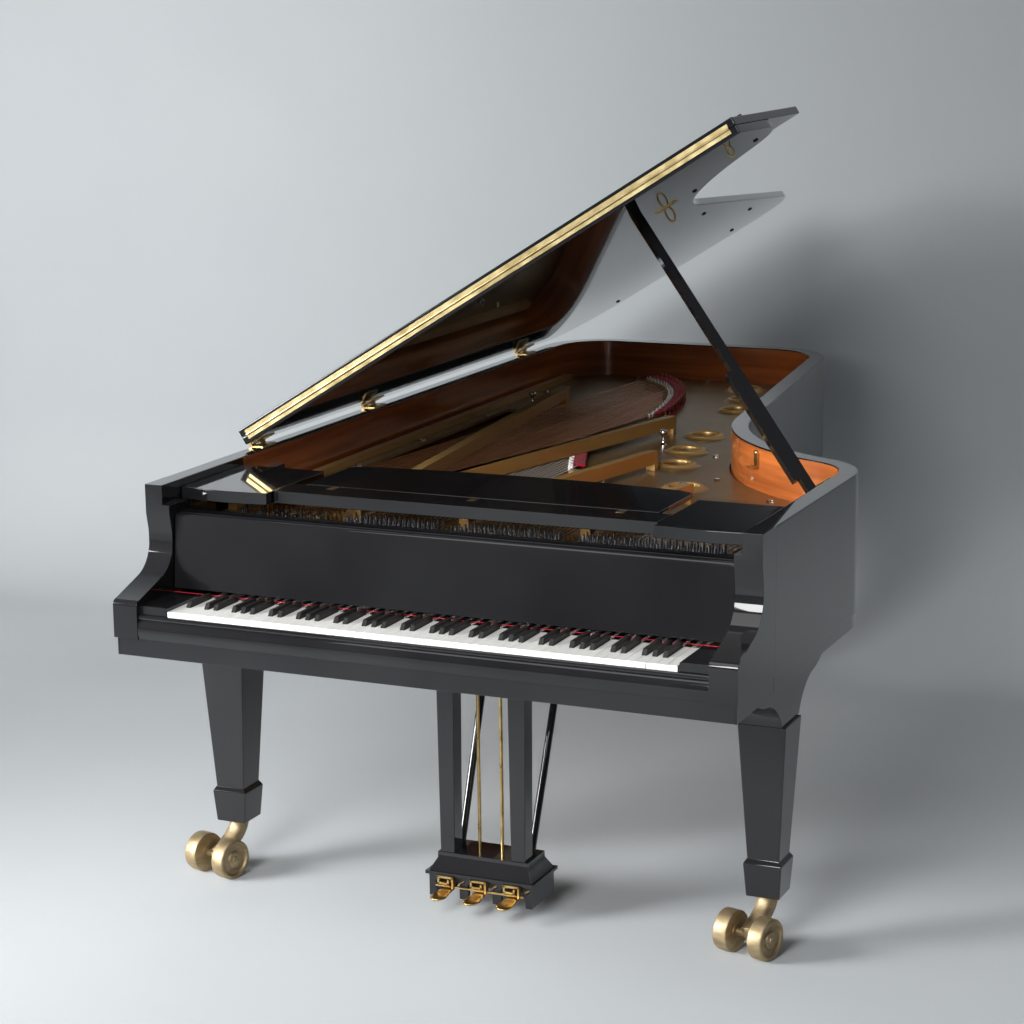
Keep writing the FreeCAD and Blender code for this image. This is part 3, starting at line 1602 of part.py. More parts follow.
def taper(label, x, y, low, high, low_size, high_size):
    """An upright block centred in plan whose sides change evenly from foot to head."""
    piece = doc.addObject("Part::Wedge", label)
    low_x, low_y = low_size[0] / 2, low_size[1] / 2
    high_x, high_y = high_size[0] / 2, high_size[1] / 2
    ends = {
        "Xmin": -low_x, "Xmax": low_x, "Zmin": -low_y, "Zmax": low_y,
        "X2min": -high_x, "X2max": high_x, "Z2min": -high_y, "Z2max": high_y,
        "Ymin": ZERO, "Ymax": high - low,
    }
    for name, length in ends.items():
        piece.setExpression(name, length.text)
    return put(piece, x, y, low, FreeCAD.Rotation(FreeCAD.Vector(1, 0, 0), 90))


def square(width):
    return (width, width)


def leg(name, x, y):
    """A square tapered leg on a flared cuff, bored for the caster's stem."""
    foot = square(d.cuff_width - d.cuff_lip)
    wide = square(d.cuff_width)
    slim = square(d.leg_bottom_width)
    lip_top = d.cuff_top + d.cuff_lip
    shaft = taper(f"{name}_shaft", x, y, d.cuff_top, d.leg_top, slim, square(d.leg_top_width))
    cuff = taper(f"{name}_cuff", x, y, cuff_bottom, d.cuff_top, foot, wide)
    bevel = taper(f"{name}_bevel", x, y, d.cuff_top, lip_top, wide, slim)
    solid = fuse(f"{name}_leg_solid", [shaft, cuff, bevel])
    radius = d.fork_stem_radius + d.pin_clearance
    depth = d.fork_stem_depth + d.overrun * 2
    bore = cylinder(f"{name}_stem_bore", (x, y, cuff_bottom - d.overrun), radius, depth)
    return cut(f"{name}_leg", solid, bore)


def front_bracket(name, x):
    """The curved bracket between a front leg and the key bed."""
    half = d.leg_top_width / 2 + d.bracket_lip
    front = d.leg_y - half
    back = d.leg_y + half
    knee = d.case_bottom - d.bracket_knee
    path = [
        (back + d.bracket_reach, d.case_bottom, d.bracket_reach),
        (front - d.bracket_reach, d.case_bottom),
        (front - d.bracket_reach * BRACKET_KNEE_SHARE, knee, d.bracket_reach),
        (front, d.leg_top, -d.bracket_curve_radius),
        (back, d.leg_top),
        (back + d.bracket_reach * BRACKET_KNEE_SHARE, knee, -d.bracket_curve_radius),
    ]
    return prism(f"{name}_bracket", "YZ_Plane", path, x - d.bracket_width / 2, d.bracket_width)


def tail_bracket():
    """The block between the tail leg and the case beams."""
    top = square(d.tail_bracket_width)
    bottom = square(d.leg_top_width + d.bracket_lip * 2)
    return taper("tail_bracket", *plan_share(TAIL_LEG_SHARES), d.leg_top, d.case_bottom, bottom, top)


def leg_brackets():
    front = [front_bracket("left", -leg_x), front_bracket("right", leg_x)]
    return group("leg_brackets", front + [tail_bracket()])


CASTER_TURN = FreeCAD.Rotation(UP, -d.caster_swing_angle.value)


def caster_place(pivot_x, pivot_y, across, along, z):
    """A place on a caster, measured across its wheels and along its trail, turned with its swing."""
    x = pivot_x + across * swing_cos + along * swing_sin
    y = pivot_y - across * swing_sin + along * swing_cos
    return (x, y, as_size(z))


def caster_box(label, at, low, size):
    return box(label, caster_place(*at, *low), size, CASTER_TURN)


def across_caster(label, at, low, high, along, z, radius):
    """A round bar along a caster's axle direction."""
    turn = CASTER_TURN.multiply(ALONG_AXIS)
    return cylinder(label, caster_place(*at, low, along, z), radius, high - low, turn)


def caster_fork(name, x, y):
    """The block between the wheels, the arm back to the swivel stem, and the cross-handled lock screw."""
    at = (x, y)
    half = d.fork_width / 2
    trail = -d.caster_trail
    nose = trail - d.fork_length / 2
    arm_low = d.wheel_radius + d.fork_rise
    arm_high = arm_low + d.fork_arm_height
    cheek_low = d.wheel_radius - d.axle_radius * 2
    cheek_size = (d.fork_width, d.fork_length, arm_low - cheek_low)
    cheek = caster_box(f"{name}_fork_cheek", at, (-half, nose, cheek_low), cheek_size)
    back = d.fork_stem_radius * 2
    bar_size = (d.fork_width, back - nose, d.fork_arm_height)
    bar = caster_box(f"{name}_fork_arm", at, (-half, nose, arm_low), bar_size)
    collar_height = cuff_bottom - d.running_gap - arm_high
    collar = cylinder(f"{name}_fork_collar", (x, y, arm_high), half, collar_height)
    stem_height = cuff_bottom + d.fork_stem_depth - arm_high
    stem = cylinder(f"{name}_fork_stem", (x, y, arm_high), d.fork_stem_radius, stem_height)
    tilt = CASTER_TURN.multiply(FreeCAD.Rotation(FreeCAD.Vector(1, 0, 0), d.lock_screw_angle.value))
    screw_z = arm_low
    screw = cylinder(
        f"{name}_lock_screw",
        caster_place(*at, ZERO, nose + d.lock_screw_radius, screw_z),
        d.lock_screw_radius,
        d.lock_screw_length,
        tilt,
    )
    run = d.lock_screw_length - d.lock_screw_radius
    end_along = nose + d.lock_screw_radius - run * sine(d.lock_screw_angle)
    end_z = screw_z + run * cosine(d.lock_screw_angle)
    reach = d.lock_handle_length / 2
    handle = across_caster(f"{name}_lock_handle", at, -reach, reach, end_along, end_z, d.lock_screw_radius)
    solid = fuse(f"{name}_fork_solid", [cheek, bar, collar, stem, screw, handle])
    radius = d.axle_radius + d.pin_clearance
    bore = across_caster(f"{name}_axle_bore", at, -d.fork_width, d.fork_width, trail, d.wheel_radius, radius)
    return cut(f"{name}_caster_fork", solid, bore)


def caster_wheels(name, x, y):
    """Two brass wheels on one axle, each with a dished outer face and a hub."""
    at = (x, y)
    trail = -d.caster_trail
    outer = wheel_outer
    inner = outer - d.wheel_width
    hub = outer + d.wheel_hub_rise
    dish_radius = d.wheel_radius - d.wheel_hub_rise
    pieces = [across_caster(f"{name}_axle", at, -hub, hub, trail, d.wheel_radius, d.axle_radius)]
    for label, low, high, dish_low, dish_high, hub_low, hub_high in (
        ("near", -outer, -inner, -(outer + d.overrun), d.wheel_hub_rise - outer, -hub, -inner),
        ("far", inner, outer, outer - d.wheel_hub_rise, outer + d.overrun, inner, hub),
    ):
        line = (trail, d.wheel_radius)
        wheel = f"{name}_{label}"
        tyre = across_caster(f"{wheel}_tyre", at, low, high, *line, d.wheel_radius)
        dish = across_caster(f"{wheel}_dish", at, dish_low, dish_high, *line, dish_radius)
        pieces.append(cut(f"{wheel}_wheel", tyre, dish))
        pieces.append(across_caster(f"{wheel}_hub", at, hub_low, hub_high, *line, d.wheel_hub_radius))
    return fuse(f"{name}_caster_wheels", pieces)


# The lyre and pedals.
lyre_low = d.lyre_box_bottom
lyre_lip_low = lyre_low + d.lyre_box_height
lyre_cove_low = lyre_lip_low + d.lyre_lip_height
lyre_plinth_low = lyre_cove_low + d.lyre_cove_height
lyre_top = lyre_plinth_low + d.lyre_step_height
lyre_middle_y = d.lyre_y + d.lyre_box_depth / 2
pedal_axle_y = d.lyre_y + d.lyre_box_depth - d.pedal_axle_inset
pedal_axle_z = lyre_low + d.pedal_drop
PEDALS = (("left", -1), ("middle", 0), ("right", 1))


def lyre_box():
    """The hollow pedal box: moulded top, open underside, slots for the pedals and the axle they rock on."""
    size = (d.lyre_box_width, d.lyre_box_depth)
    wide = (d.lyre_box_width + d.lyre_lip * 2, d.lyre_box_depth + d.lyre_lip * 2)
    small = (d.lyre_box_width - d.lyre_step_inset * 2, d.lyre_box_depth - d.lyre_step_inset * 2)
    at = (d.lyre_offset, lyre_middle_y)
    body = taper("lyre_lower", *at, lyre_low, lyre_lip_low, size, size)
    lip = taper("lyre_lip_slab", *at, lyre_lip_low, lyre_cove_low, wide, wide)
    cove = taper("lyre_cove", *at, lyre_cove_low, lyre_plinth_low, size, small)
    plinth = taper("lyre_plinth", *at, lyre_plinth_low, lyre_top, small, small)
    solid = fuse("lyre_solid", [body, lip, cove, plinth])
    room = (d.lyre_box_width - d.lyre_wall * 2, d.lyre_box_depth - d.lyre_wall * 2)
    tools = [taper("lyre_room", *at, lyre_low - d.overrun, lyre_lip_low - d.lyre_wall, room, room)]
    for name, side in PEDALS:
        middle = d.lyre_offset + d.pedal_spacing * side
        half = d.pedal_width / 2 + d.pedal_slot_gap
        low = (middle - half, d.lyre_y - d.overrun, lyre_low - d.overrun)
        slot = (half * 2, d.lyre_wall + d.overrun * 2, d.pedal_drop + d.pedal_thickness * 2 + d.overrun)
        tools.append(box(f"{name}_pedal_slot", low, slot))
        rod_x = d.lyre_offset + d.pedal_rod_offset + d.pedal_rod_spacing * side
        rod_y = pedal_axle_y - d.pedal_rod_setback
        tools.append(cylinder(f"{name}_rod_hole", (rod_x, rod_y, lyre_low), rod_hole_radius(), lyre_top))
    hollow = cut("lyre_hollow", solid, fuse("lyre_tools", tools))
    half = d.lyre_box_width / 2 - d.lyre_wall
    axle = cylinder(
        "pedal_axle",
        (d.lyre_offset - half - d.overrun, pedal_axle_y, pedal_axle_z),
        d.pedal_pivot_radius,
        half * 2 + d.overrun * 2,
        ALONG_AXIS,
    )
    return fuse("lyre_box", [hollow, axle])


def rod_hole_radius():
    return d.pedal_rod_radius + d.pedal_rod_gap


def pedal(name, side):
    """A brass pedal: bored at the axle, skewed to its rod, spreading to a round toe."""
    body = new_body(f"{name}_pedal")
    toe_x = d.lyre_offset + d.pedal_spacing * side
    tail_x = d.lyre_offset + d.pedal_rod_offset + d.pedal_rod_spacing * side
    half = d.pedal_width / 2
    toe_half = d.pedal_toe_width / 2
    tail_half = half * PEDAL_TAIL_SHARE
    front = d.lyre_y - d.pedal_toe
    neck = d.lyre_y - d.lyre_wall
    back = pedal_axle_y + d.pedal_pivot_radius * 2
    rod_y = pedal_axle_y - d.pedal_rod_setback
    path = [
        (tail_x + tail_half, back),
        (tail_x - tail_half, back),
        (tail_x - tail_half, rod_y),
        (toe_x - half, neck + d.lyre_wall * 2),
        (toe_x - half, neck),
        (toe_x - toe_half, front + toe_half),
        (toe_x + toe_half, front + toe_half, toe_half + d.running_gap),
        (toe_x + half, neck),
        (toe_x + half, neck + d.lyre_wall * 2),
        (tail_x + tail_half, rod_y),
    ]
    pad(body, "XY_Plane", path, pedal_axle_z - d.pedal_thickness / 2, d.pedal_thickness)
    barrel = d.pedal_pivot_radius + d.pedal_thickness / 2
    axis = (pedal_axle_y, pedal_axle_z)
    pad(body, "YZ_Plane", [], tail_x - tail_half, tail_half * 2, [(*axis, barrel)])
    bore = [(*axis, d.pedal_pivot_radius + d.pin_clearance)]
    pocket(body, "YZ_Plane", [], tail_x + tail_half + d.overrun, tail_half * 2 + d.overrun * 2, bore)
    return body


def pedal_rod(name, side):
    """The upright rod from a pedal to the underside of the key bed."""
    x = d.lyre_offset + d.pedal_rod_offset + d.pedal_rod_spacing * side
    y = pedal_axle_y - d.pedal_rod_setback
    low = pedal_axle_z + d.pedal_thickness / 2 + d.pedal_rod_gap
    return cylinder(f"{name}_rod", (x, y, low), d.pedal_rod_radius, d.case_bottom - d.running_gap - low)


def pedal_guards():
    """Square brass loops on the box front, one over each pedal."""
    loops = []
    wire = d.pedal_guard_wire
    for name, side in PEDALS:
        middle = d.lyre_offset + d.pedal_spacing * side
        half = d.pedal_width / 2 + d.pedal_slot_gap + wire
        base = lyre_low + d.pedal_drop + d.pedal_thickness * 2 + d.running_gap
        front = d.lyre_y - d.pedal_guard_reach
        top = base + d.pedal_guard_height
        bars = [box(f"{name}_guard_top", (middle - half, front, top - wire), (half * 2, wire, wire))]
        for label, low_x in (("near", middle - half), ("far", middle + half - wire)):
            bars.append(box(f"{name}_guard_{label}_side", (low_x, front, base), (wire, wire, top - base)))
            arm_size = (wire, d.pedal_guard_reach, wire)
            bars.append(box(f"{name}_guard_{label}_arm", (low_x, front, top - wire), arm_size))
        loops.append(fuse(f"{name}_guard", bars))
    return group("pedal_guards", loops)


def lyre_pillars():
    pillars = []
    for name, side in (("left", -1), ("right", 1)):
        x = d.lyre_offset + d.pillar_spacing / 2 * side
        y = d.lyre_y + d.lyre_step_inset + d.pillar_depth / 2
        foot = (d.pillar_bottom_width, d.pillar_depth)
        head = (d.pillar_top_width, d.pillar_depth)
        pillars.append(taper(f"{name}_pillar", x, y, lyre_top, d.case_bottom, foot, head))
    return group("lyre_pillars", pillars)


def lyre_braces():
    """Two slanting rods from the back of the box up to the key bed, each end cut flat on what it meets."""
    rods = []
    back = d.lyre_y + d.lyre_box_depth - d.lyre_step_inset - d.brace_rod_radius * 2
    room = box(
        "brace_room",
        (-d.half_width, ZERO, lyre_top),
        (d.half_width * 2, d.case_length, d.case_bottom - lyre_top),
    )
    for name, side in (("left", -1), ("right", 1)):
        low = vector(d.lyre_offset + d.brace_rod_foot * side, back, lyre_top)
        high_x = d.lyre_offset + (d.brace_rod_foot + d.brace_rod_spread) * side
        high = vector(high_x, back + d.brace_rod_run, d.case_bottom)
        along = high - low
        extra = along * BRACE_EXTRA_SHARE
        start = low - extra
        turn = FreeCAD.Rotation(UP, along)
        length = as_size((along + extra * 2).Length)
        place = (as_size(start.x), as_size(start.y), as_size(start.z))
        rod = cylinder(f"{name}_brace_long", place, d.brace_rod_radius, length, turn)
        rods.append(common(f"{name}_lyre_brace", rod, room))
    return group("lyre_braces", rods)


NODES = [
    outer_rim(),
    inner_rim(),
    group("case_arms", [arm("left_arm", -1), arm("right_arm", 1)]),
    key_bed(),
    key_slip(),
    key_blocks(),
    fallboard(),
    nameboard(),
    rim_braces(),
    soundboard(),
    bridge("treble_bridge", range(SECTION_STARTS[0], NOTES), d.treble_string_radius),
    bridge("bass_bridge", range(SECTION_STARTS[0]), d.bass_string_radius),
    iron_plate(),
    plate_bolts(),
    pin_block(),
    tuning_pins(),
    string_pins(),
    strings("treble_strings", range(SECTION_STARTS[0], NOTES), d.treble_string_radius),
    strings("bass_strings", range(SECTION_STARTS[0]), d.bass_string_radius),
    string_felt(),
    white_keys(),
    black_keys(),
    key_frame(),
    action_rails(),
    hammers("natural_hammers", [note for note in range(NOTES) if not is_sharp(note)]),
    hammers("sharp_hammers", [note for note in range(NOTES) if is_sharp(note)]),
    dampers(),
    lid_main(),
    lid_flap(),
    flap_leaf("flap_hinge_lid_leaf", False),
    flap_leaf("flap_hinge_flap_leaf", True),
    lid_hinges("rim_hinge_leaves", rim_hinge),
    lid_hinges("lid_hinge_leaves", lid_hinge),
    lid_prop(),
    short_prop(),
    prop_bracket(),
    prop_hook(),
    prop_socket(),
    music_shelf(),
    music_wings(),
    music_desk(),
    desk_hinges(),
    group("legs", [leg(*place) for place in LEGS]),
    leg_brackets(),
    *[caster_fork(*place) for place in LEGS],
    *[caster_wheels(*place) for place in LEGS],
    lyre_pillars(),
    lyre_box(),
    lyre_braces(),
    pedal_guards(),
    *[pedal(*place) for place in PEDALS],
    *[pedal_rod(*place) for place in PEDALS],
]

doc.recompute()
for piece in doc.Objects:
    if "Invalid" in piece.State or "Error" in piece.State:
        raise RuntimeError(f"{piece.Label} failed: {piece.State}")
for node in NODES:
    if node.Shape.isNull() or not node.Shape.isValid():
        raise RuntimeError(f"{node.Label} has no valid shape")
os.makedirs("parts", exist_ok=True)
for node in NODES:
    node.Shape.exportStep(f"parts/{node.Label}.step")
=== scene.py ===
# %% [markdown]
# # A concert grand piano with its lid on the prop
# The solids come from the CAD model, in metres, standing on the floor with the keyboard at the front (-Y).
# This lesson dresses them: rounded edges, polish, bronze, brass, felt and wire, and then a studio.
# Loading comes first, because every later piece is placed from the loaded solids.

# %% Load the frame
import bmesh
import bpy
import json
import math
import numpy as np
from mathutils import Matrix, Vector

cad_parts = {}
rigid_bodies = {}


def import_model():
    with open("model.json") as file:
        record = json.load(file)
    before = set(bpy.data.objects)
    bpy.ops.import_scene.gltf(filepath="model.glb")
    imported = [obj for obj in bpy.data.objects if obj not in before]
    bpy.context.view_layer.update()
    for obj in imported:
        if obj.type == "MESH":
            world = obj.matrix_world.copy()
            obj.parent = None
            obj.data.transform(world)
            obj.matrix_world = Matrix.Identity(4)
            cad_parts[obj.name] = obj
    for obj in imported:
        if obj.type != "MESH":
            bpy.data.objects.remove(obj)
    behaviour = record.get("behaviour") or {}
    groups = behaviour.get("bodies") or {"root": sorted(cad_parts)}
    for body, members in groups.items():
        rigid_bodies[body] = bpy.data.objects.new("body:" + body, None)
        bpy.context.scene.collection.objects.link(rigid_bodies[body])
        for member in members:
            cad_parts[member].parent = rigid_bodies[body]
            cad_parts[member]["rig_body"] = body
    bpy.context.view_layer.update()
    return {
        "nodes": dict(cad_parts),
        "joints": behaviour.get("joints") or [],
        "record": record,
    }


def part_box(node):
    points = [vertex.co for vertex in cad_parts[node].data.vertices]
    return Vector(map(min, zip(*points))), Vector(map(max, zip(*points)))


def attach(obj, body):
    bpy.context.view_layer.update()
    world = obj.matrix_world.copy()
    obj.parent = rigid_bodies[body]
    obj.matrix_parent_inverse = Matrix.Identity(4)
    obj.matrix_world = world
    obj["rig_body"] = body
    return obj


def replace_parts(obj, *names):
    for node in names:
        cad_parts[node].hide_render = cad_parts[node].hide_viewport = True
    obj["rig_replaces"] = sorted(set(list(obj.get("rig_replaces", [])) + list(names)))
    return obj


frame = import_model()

nodes = frame["nodes"]
slot_of = {part["node"]: part["material_slot"] for part in frame["record"]["subparts"]}
joint_of = {joint["name"]: joint for joint in frame["joints"]}

# %% [markdown]
# ## A maker's ruler
# Piano makers measure from the middle of the keyboard and the front of the arms, in millimetres.
# One function turns such places into the metres of the frame, so the numbers below stay readable.

# %% Places in the case
KEYBOARD_X = (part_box("outer_rim")[0].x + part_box("outer_rim")[1].x) / 2
ARM_FRONT_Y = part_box("case_arms")[0].y
HALF_WIDTH, CASE_LENGTH, RIM_THICKNESS = 748.0, 2690.0, 45.0
RIM_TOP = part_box("outer_rim")[1].z * 1000
RIM_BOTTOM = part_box("outer_rim")[0].z * 1000


def place(x, y, z):
    """Case millimetres to frame metres: each coordinate over a thousand, plus the keyboard's own place."""
    x, y, z = np.broadcast_arrays(np.asarray(x, float), np.asarray(y, float), np.asarray(z, float))
    return np.stack([x / 1000 + KEYBOARD_X, y / 1000 + ARM_FRONT_Y, z / 1000], axis=-1)


print("rim from", round(RIM_BOTTOM), "to", round(RIM_TOP), "mm; keyboard middle at x", round(KEYBOARD_X, 4))

# %% [markdown]
# ## Finishes
# Every finish is one shader fed by noise. A single flat colour looks like plastic, because real lacquer,
# metal and wood all vary a little in tone and gloss. The noise reads Object coordinates, so the grain
# stays fixed to the piece; stretching it in one direction turns specks into grain or brush marks.

# %% A shader from noise
finishes = {}


def finish(name, dark, light, scale, stretch=(1, 1, 1), rough=(0.3, 0.4), bump=(400.0, 0.02), detail=4.0,
           **sockets):
    """Noise of a given scale and stretch runs the colour from dark to light and the roughness between
    two values; a finer noise of its own scale and strength makes the bump. Other sockets stay constant."""
    material = bpy.data.materials.new(name)
    material.use_nodes = True
    tree = material.node_tree
    shader = tree.nodes["Principled BSDF"]
    where = tree.nodes.new("ShaderNodeTexCoord")
    turn = tree.nodes.new("ShaderNodeMapping")
    turn.inputs["Scale"].default_value = stretch
    grain = tree.nodes.new("ShaderNodeTexNoise")
    grain.inputs["Scale"].default_value = scale
    grain.inputs["Detail"].default_value = detail
    colour = tree.nodes.new("ShaderNodeValToRGB")
    colour.color_ramp.elements[0].position = 0.32
    colour.color_ramp.elements[1].position = 0.70
    colour.color_ramp.elements[0].color = (*dark, 1)
    colour.color_ramp.elements[1].color = (*light, 1)
    gloss = tree.nodes.new("ShaderNodeMapRange")
    gloss.inputs["To Min"].default_value, gloss.inputs["To Max"].default_value = rough
    fine = tree.nodes.new("ShaderNodeTexNoise")
    fine.inputs["Scale"].default_value = bump[0]
    height = tree.nodes.new("ShaderNodeBump")
    height.inputs["Strength"].default_value = bump[1]
    height.inputs["Distance"].default_value = 0.001
    link = tree.links.new
    link(where.outputs["Object"], turn.inputs["Vector"])
    link(turn.outputs["Vector"], grain.inputs["Vector"])
    link(turn.outputs["Vector"], fine.inputs["Vector"])
    link(grain.outputs["Fac"], colour.inputs["Fac"])
    link(grain.outputs["Fac"], gloss.inputs["Value"])
    link(colour.outputs["Color"], shader.inputs["Base Color"])
    link(gloss.outputs["Result"], shader.inputs["Roughness"])
    link(fine.outputs["Fac"], height.inputs["Height"])
    link(height.outputs["Normal"], shader.inputs["Normal"])
    for socket, value in sockets.items():
        shader.inputs[socket.replace("_", " ")].default_value = value
    finishes[name] = material
    return material


# %% [markdown]
# ## Polish, woods, metals and felt
# Black piano polish is a near-black colour under a thick clear coat: the coat gives the mirror, the colour
# under it stays dark. Woods stretch the noise along the grain. Metals set Metallic to 1 and live from their
# roughness. Felt has no gloss but a sheen, the soft light edge of its fibres.

# %% The finishes by slot
finish("black_polish", (0.006, 0.006, 0.007), (0.012, 0.012, 0.013), 3.0, rough=(0.05, 0.11),
       bump=(260.0, 0.012), Specular_IOR_Level=0.06, Coat_Weight=1.0, Coat_Roughness=0.02)
finish("case_veneer", (0.250, 0.060, 0.014), (0.54, 0.150, 0.034), 22.0, stretch=(0.10, 0.10, 1.9),
       rough=(0.16, 0.30), bump=(90.0, 0.03), detail=7.0, Coat_Weight=0.7, Coat_Roughness=0.08)
finish("spruce", (0.36, 0.185, 0.062), (0.62, 0.385, 0.155), 60.0, stretch=(2.0, 0.05, 1.0),
       rough=(0.28, 0.40), bump=(120.0, 0.04), detail=5.0, Coat_Weight=0.3, Coat_Roughness=0.15)
finish("beech", (0.30, 0.17, 0.075), (0.52, 0.33, 0.17), 40.0, stretch=(0.25, 0.9, 1.6), rough=(0.40, 0.55),
       bump=(160.0, 0.06), detail=6.0)
finish("brass", (0.40, 0.255, 0.085), (0.66, 0.47, 0.20), 38.0, rough=(0.20, 0.40), bump=(500.0, 0.03),
       detail=8.0, Metallic=1.0)
finish("pin_steel", (0.045, 0.047, 0.054), (0.095, 0.098, 0.106), 120.0, rough=(0.30, 0.44), Metallic=1.0)
finish("bridge_pin", (0.66, 0.66, 0.64), (0.80, 0.80, 0.78), 90.0, rough=(0.34, 0.46), Metallic=0.4)
finish("string_steel", (0.46, 0.45, 0.43), (0.66, 0.65, 0.63), 90.0, stretch=(1, 0.02, 1),
       rough=(0.22, 0.30), Metallic=1.0)
finish("copper_wire", (0.36, 0.15, 0.07), (0.60, 0.28, 0.14), 70.0, stretch=(1, 0.05, 1), rough=(0.26, 0.40),
       bump=(900.0, 0.10), Metallic=1.0)
finish("chrome", (0.60, 0.60, 0.62), (0.74, 0.74, 0.76), 30.0, rough=(0.07, 0.14), bump=(300.0, 0.01),
       Metallic=1.0)
finish("red_felt", (0.33, 0.004, 0.018), (0.58, 0.012, 0.040), 500.0, rough=(0.90, 0.98),
       bump=(1500.0, 0.35), Sheen_Weight=0.08, Sheen_Roughness=0.5, Specular_IOR_Level=0.2)
finish("hammer_felt", (0.56, 0.53, 0.45), (0.76, 0.73, 0.65), 300.0, rough=(0.88, 0.96), bump=(900.0, 0.25),
       Sheen_Weight=0.3)
finish("key_white", (0.80, 0.79, 0.755), (0.86, 0.855, 0.83), 9.0, stretch=(4, 0.5, 1), rough=(0.16, 0.26),
       bump=(200.0, 0.01), Coat_Weight=0.3, Coat_Roughness=0.06)
finish("key_black", (0.008, 0.008, 0.008), (0.020, 0.019, 0.018), 60.0, stretch=(3, 0.1, 1),
       rough=(0.26, 0.42), bump=(300.0, 0.05), Specular_IOR_Level=0.25)
print(len(finishes), "finishes")

# %% [markdown]
# ## The cast plate's bronze and its painted light
# The iron plate is sprayed with bronze. Its flat web is dull and dark. The struts and rings that stand above
# it are painted a lighter gold, as where the light falls on them: painted light. Height tells them apart, so
# a ramp on the Z coordinate mixes the two, with the noise of cast iron on top.

# %% Bronze, with painted light by height
PLATE_TOP = 893.0


def bronze():
    """Height above the web, as a ramp 5 mm wide, mixes the web's bronze with a gold of painted light."""
    material = finish("plate_bronze", (0.235, 0.150, 0.066), (0.315, 0.210, 0.098), 18.0, rough=(0.30, 0.42),
                      bump=(420.0, 0.06), detail=8.0, Metallic=0.6)
    tree = material.node_tree
    shader = tree.nodes["Principled BSDF"]
    web = shader.inputs["Base Color"].links[0].from_socket
    where = next(node for node in tree.nodes if node.type == "TEX_COORD")
    split = tree.nodes.new("ShaderNodeSeparateXYZ")
    rise = tree.nodes.new("ShaderNodeMapRange")
    rise.inputs["From Min"].default_value = (PLATE_TOP + 1) / 1000
    rise.inputs["From Max"].default_value = (PLATE_TOP + 6) / 1000
    tone = tree.nodes.new("ShaderNodeMix")
    tone.data_type = "RGBA"
    # This gold is painted light: the raised parts are lighter, as where the light falls on them.
    tone.inputs["B"].default_value = (0.56, 0.345, 0.115, 1)
    tree.links.new(where.outputs["Object"], split.inputs["Vector"])
    tree.links.new(split.outputs["Z"], rise.inputs["Value"])
    tree.links.new(rise.outputs["Result"], tone.inputs["Factor"])
    tree.links.new(web, tone.inputs["A"])
    tree.links.new(tone.outputs["Result"], shader.inputs["Base Color"])
    return material


print("bronze", bronze().name)

# %% [markdown]
# ## Surfaces from grids
# A turned knob, a bent rim and a length of wire are all the same thing to a computer: rows and columns of
# points. One helper joins such a grid into faces. Rows that shrink to a point close the ends, and merging
# the doubled points then closes the seams and poles.

# %% Grid to mesh
def tidy(mesh, angle):
    """Merges doubled points, turns all faces outwards and shades smooth except across sharp edges."""
    work = bmesh.new()
    work.from_mesh(mesh)
    bmesh.ops.remove_doubles(work, verts=work.verts, dist=2e-6)
    bmesh.ops.recalc_face_normals(work, faces=work.faces)
    work.to_mesh(mesh)
    work.free()
    mesh.polygons.foreach_set("use_smooth", np.ones(len(mesh.polygons), dtype=bool))
    mesh.set_sharp_from_angle(angle=math.radians(angle))


def surface(name, grid, slot, body=None, hides=(), loop=True, angle=38.0, look=None):
    """A grid of points (copies, rows, columns, 3) as one mesh: each point is joined to the next in its row
    and in its column, and with loop the last column joins the first."""
    grid = np.asarray(grid, float)
    grid = grid.reshape((-1,) + grid.shape[-3:])
    index = np.arange(grid.size // 3).reshape(grid.shape[:3])
    if loop:
        index = np.concatenate([index, index[..., :1]], axis=2)
    corners = (index[:, :-1, :-1], index[:, :-1, 1:], index[:, 1:, 1:], index[:, 1:, :-1])
    quads = np.stack(corners, axis=-1).reshape(-1, 4)
    mesh = bpy.data.meshes.new(name)
    mesh.vertices.add(grid.size // 3)
    mesh.vertices.foreach_set("co", grid.ravel())
    mesh.loops.add(quads.size)
    mesh.loops.foreach_set("vertex_index", quads.ravel().astype(np.int32))
    mesh.polygons.add(len(quads))
    mesh.polygons.foreach_set("loop_start", np.arange(0, quads.size, 4, dtype=np.int32))
    mesh.update(calc_edges=True)
    tidy(mesh, angle)
    obj = bpy.data.objects.new(name, mesh)
    bpy.context.scene.collection.objects.link(obj)
    if body:
        mesh.materials.append(finishes[look or slot])
        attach(obj, body)
    if hides:
        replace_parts(obj, *hides)
    return obj


# %% [markdown]
# ## Turned pieces
# Wheels, bolts, pins and knobs are turned on a lathe, so each is a profile of (radius, height) carried round
# an axis. The helper takes many places at once: the same profile stands at each of them.

# %% Lathe
def turned(profile, places, axis=(0, 0, 1), sides=48):
    """Point = place + height * axis + radius * (cos(angle) * across + sin(angle) * along), for the profile's
    (radius, height) pairs in millimetres and places in metres."""
    profile = np.asarray(profile, float) / 1000
    places = np.atleast_2d(places)[:, None, None, :]
    axis = np.asarray(axis, float) / np.linalg.norm(axis)
    helper = np.array([1.0, 0, 0]) if abs(axis[0]) < 0.8 else np.array([0, 1.0, 0])
    across = np.cross(axis, helper)
    across /= np.linalg.norm(across)
    along = np.cross(axis, across)
    turns = np.linspace(0, 2 * np.pi, sides, endpoint=False)
    spokes = np.cos(turns)[:, None] * across + np.sin(turns)[:, None] * along
    rings = profile[:, 1, None, None] * axis + profile[:, 0, None, None] * spokes
    return places + rings[None]


# %% [markdown]
# ## Rounded corners
# No polished edge is knife sharp: a radius of one or two millimetres catches a thin line of light, and the
# eye reads the whole shape from those lines. In a profile the corners are rounded by formula; on the flat CAD
# pieces a Bevel modifier does the same.

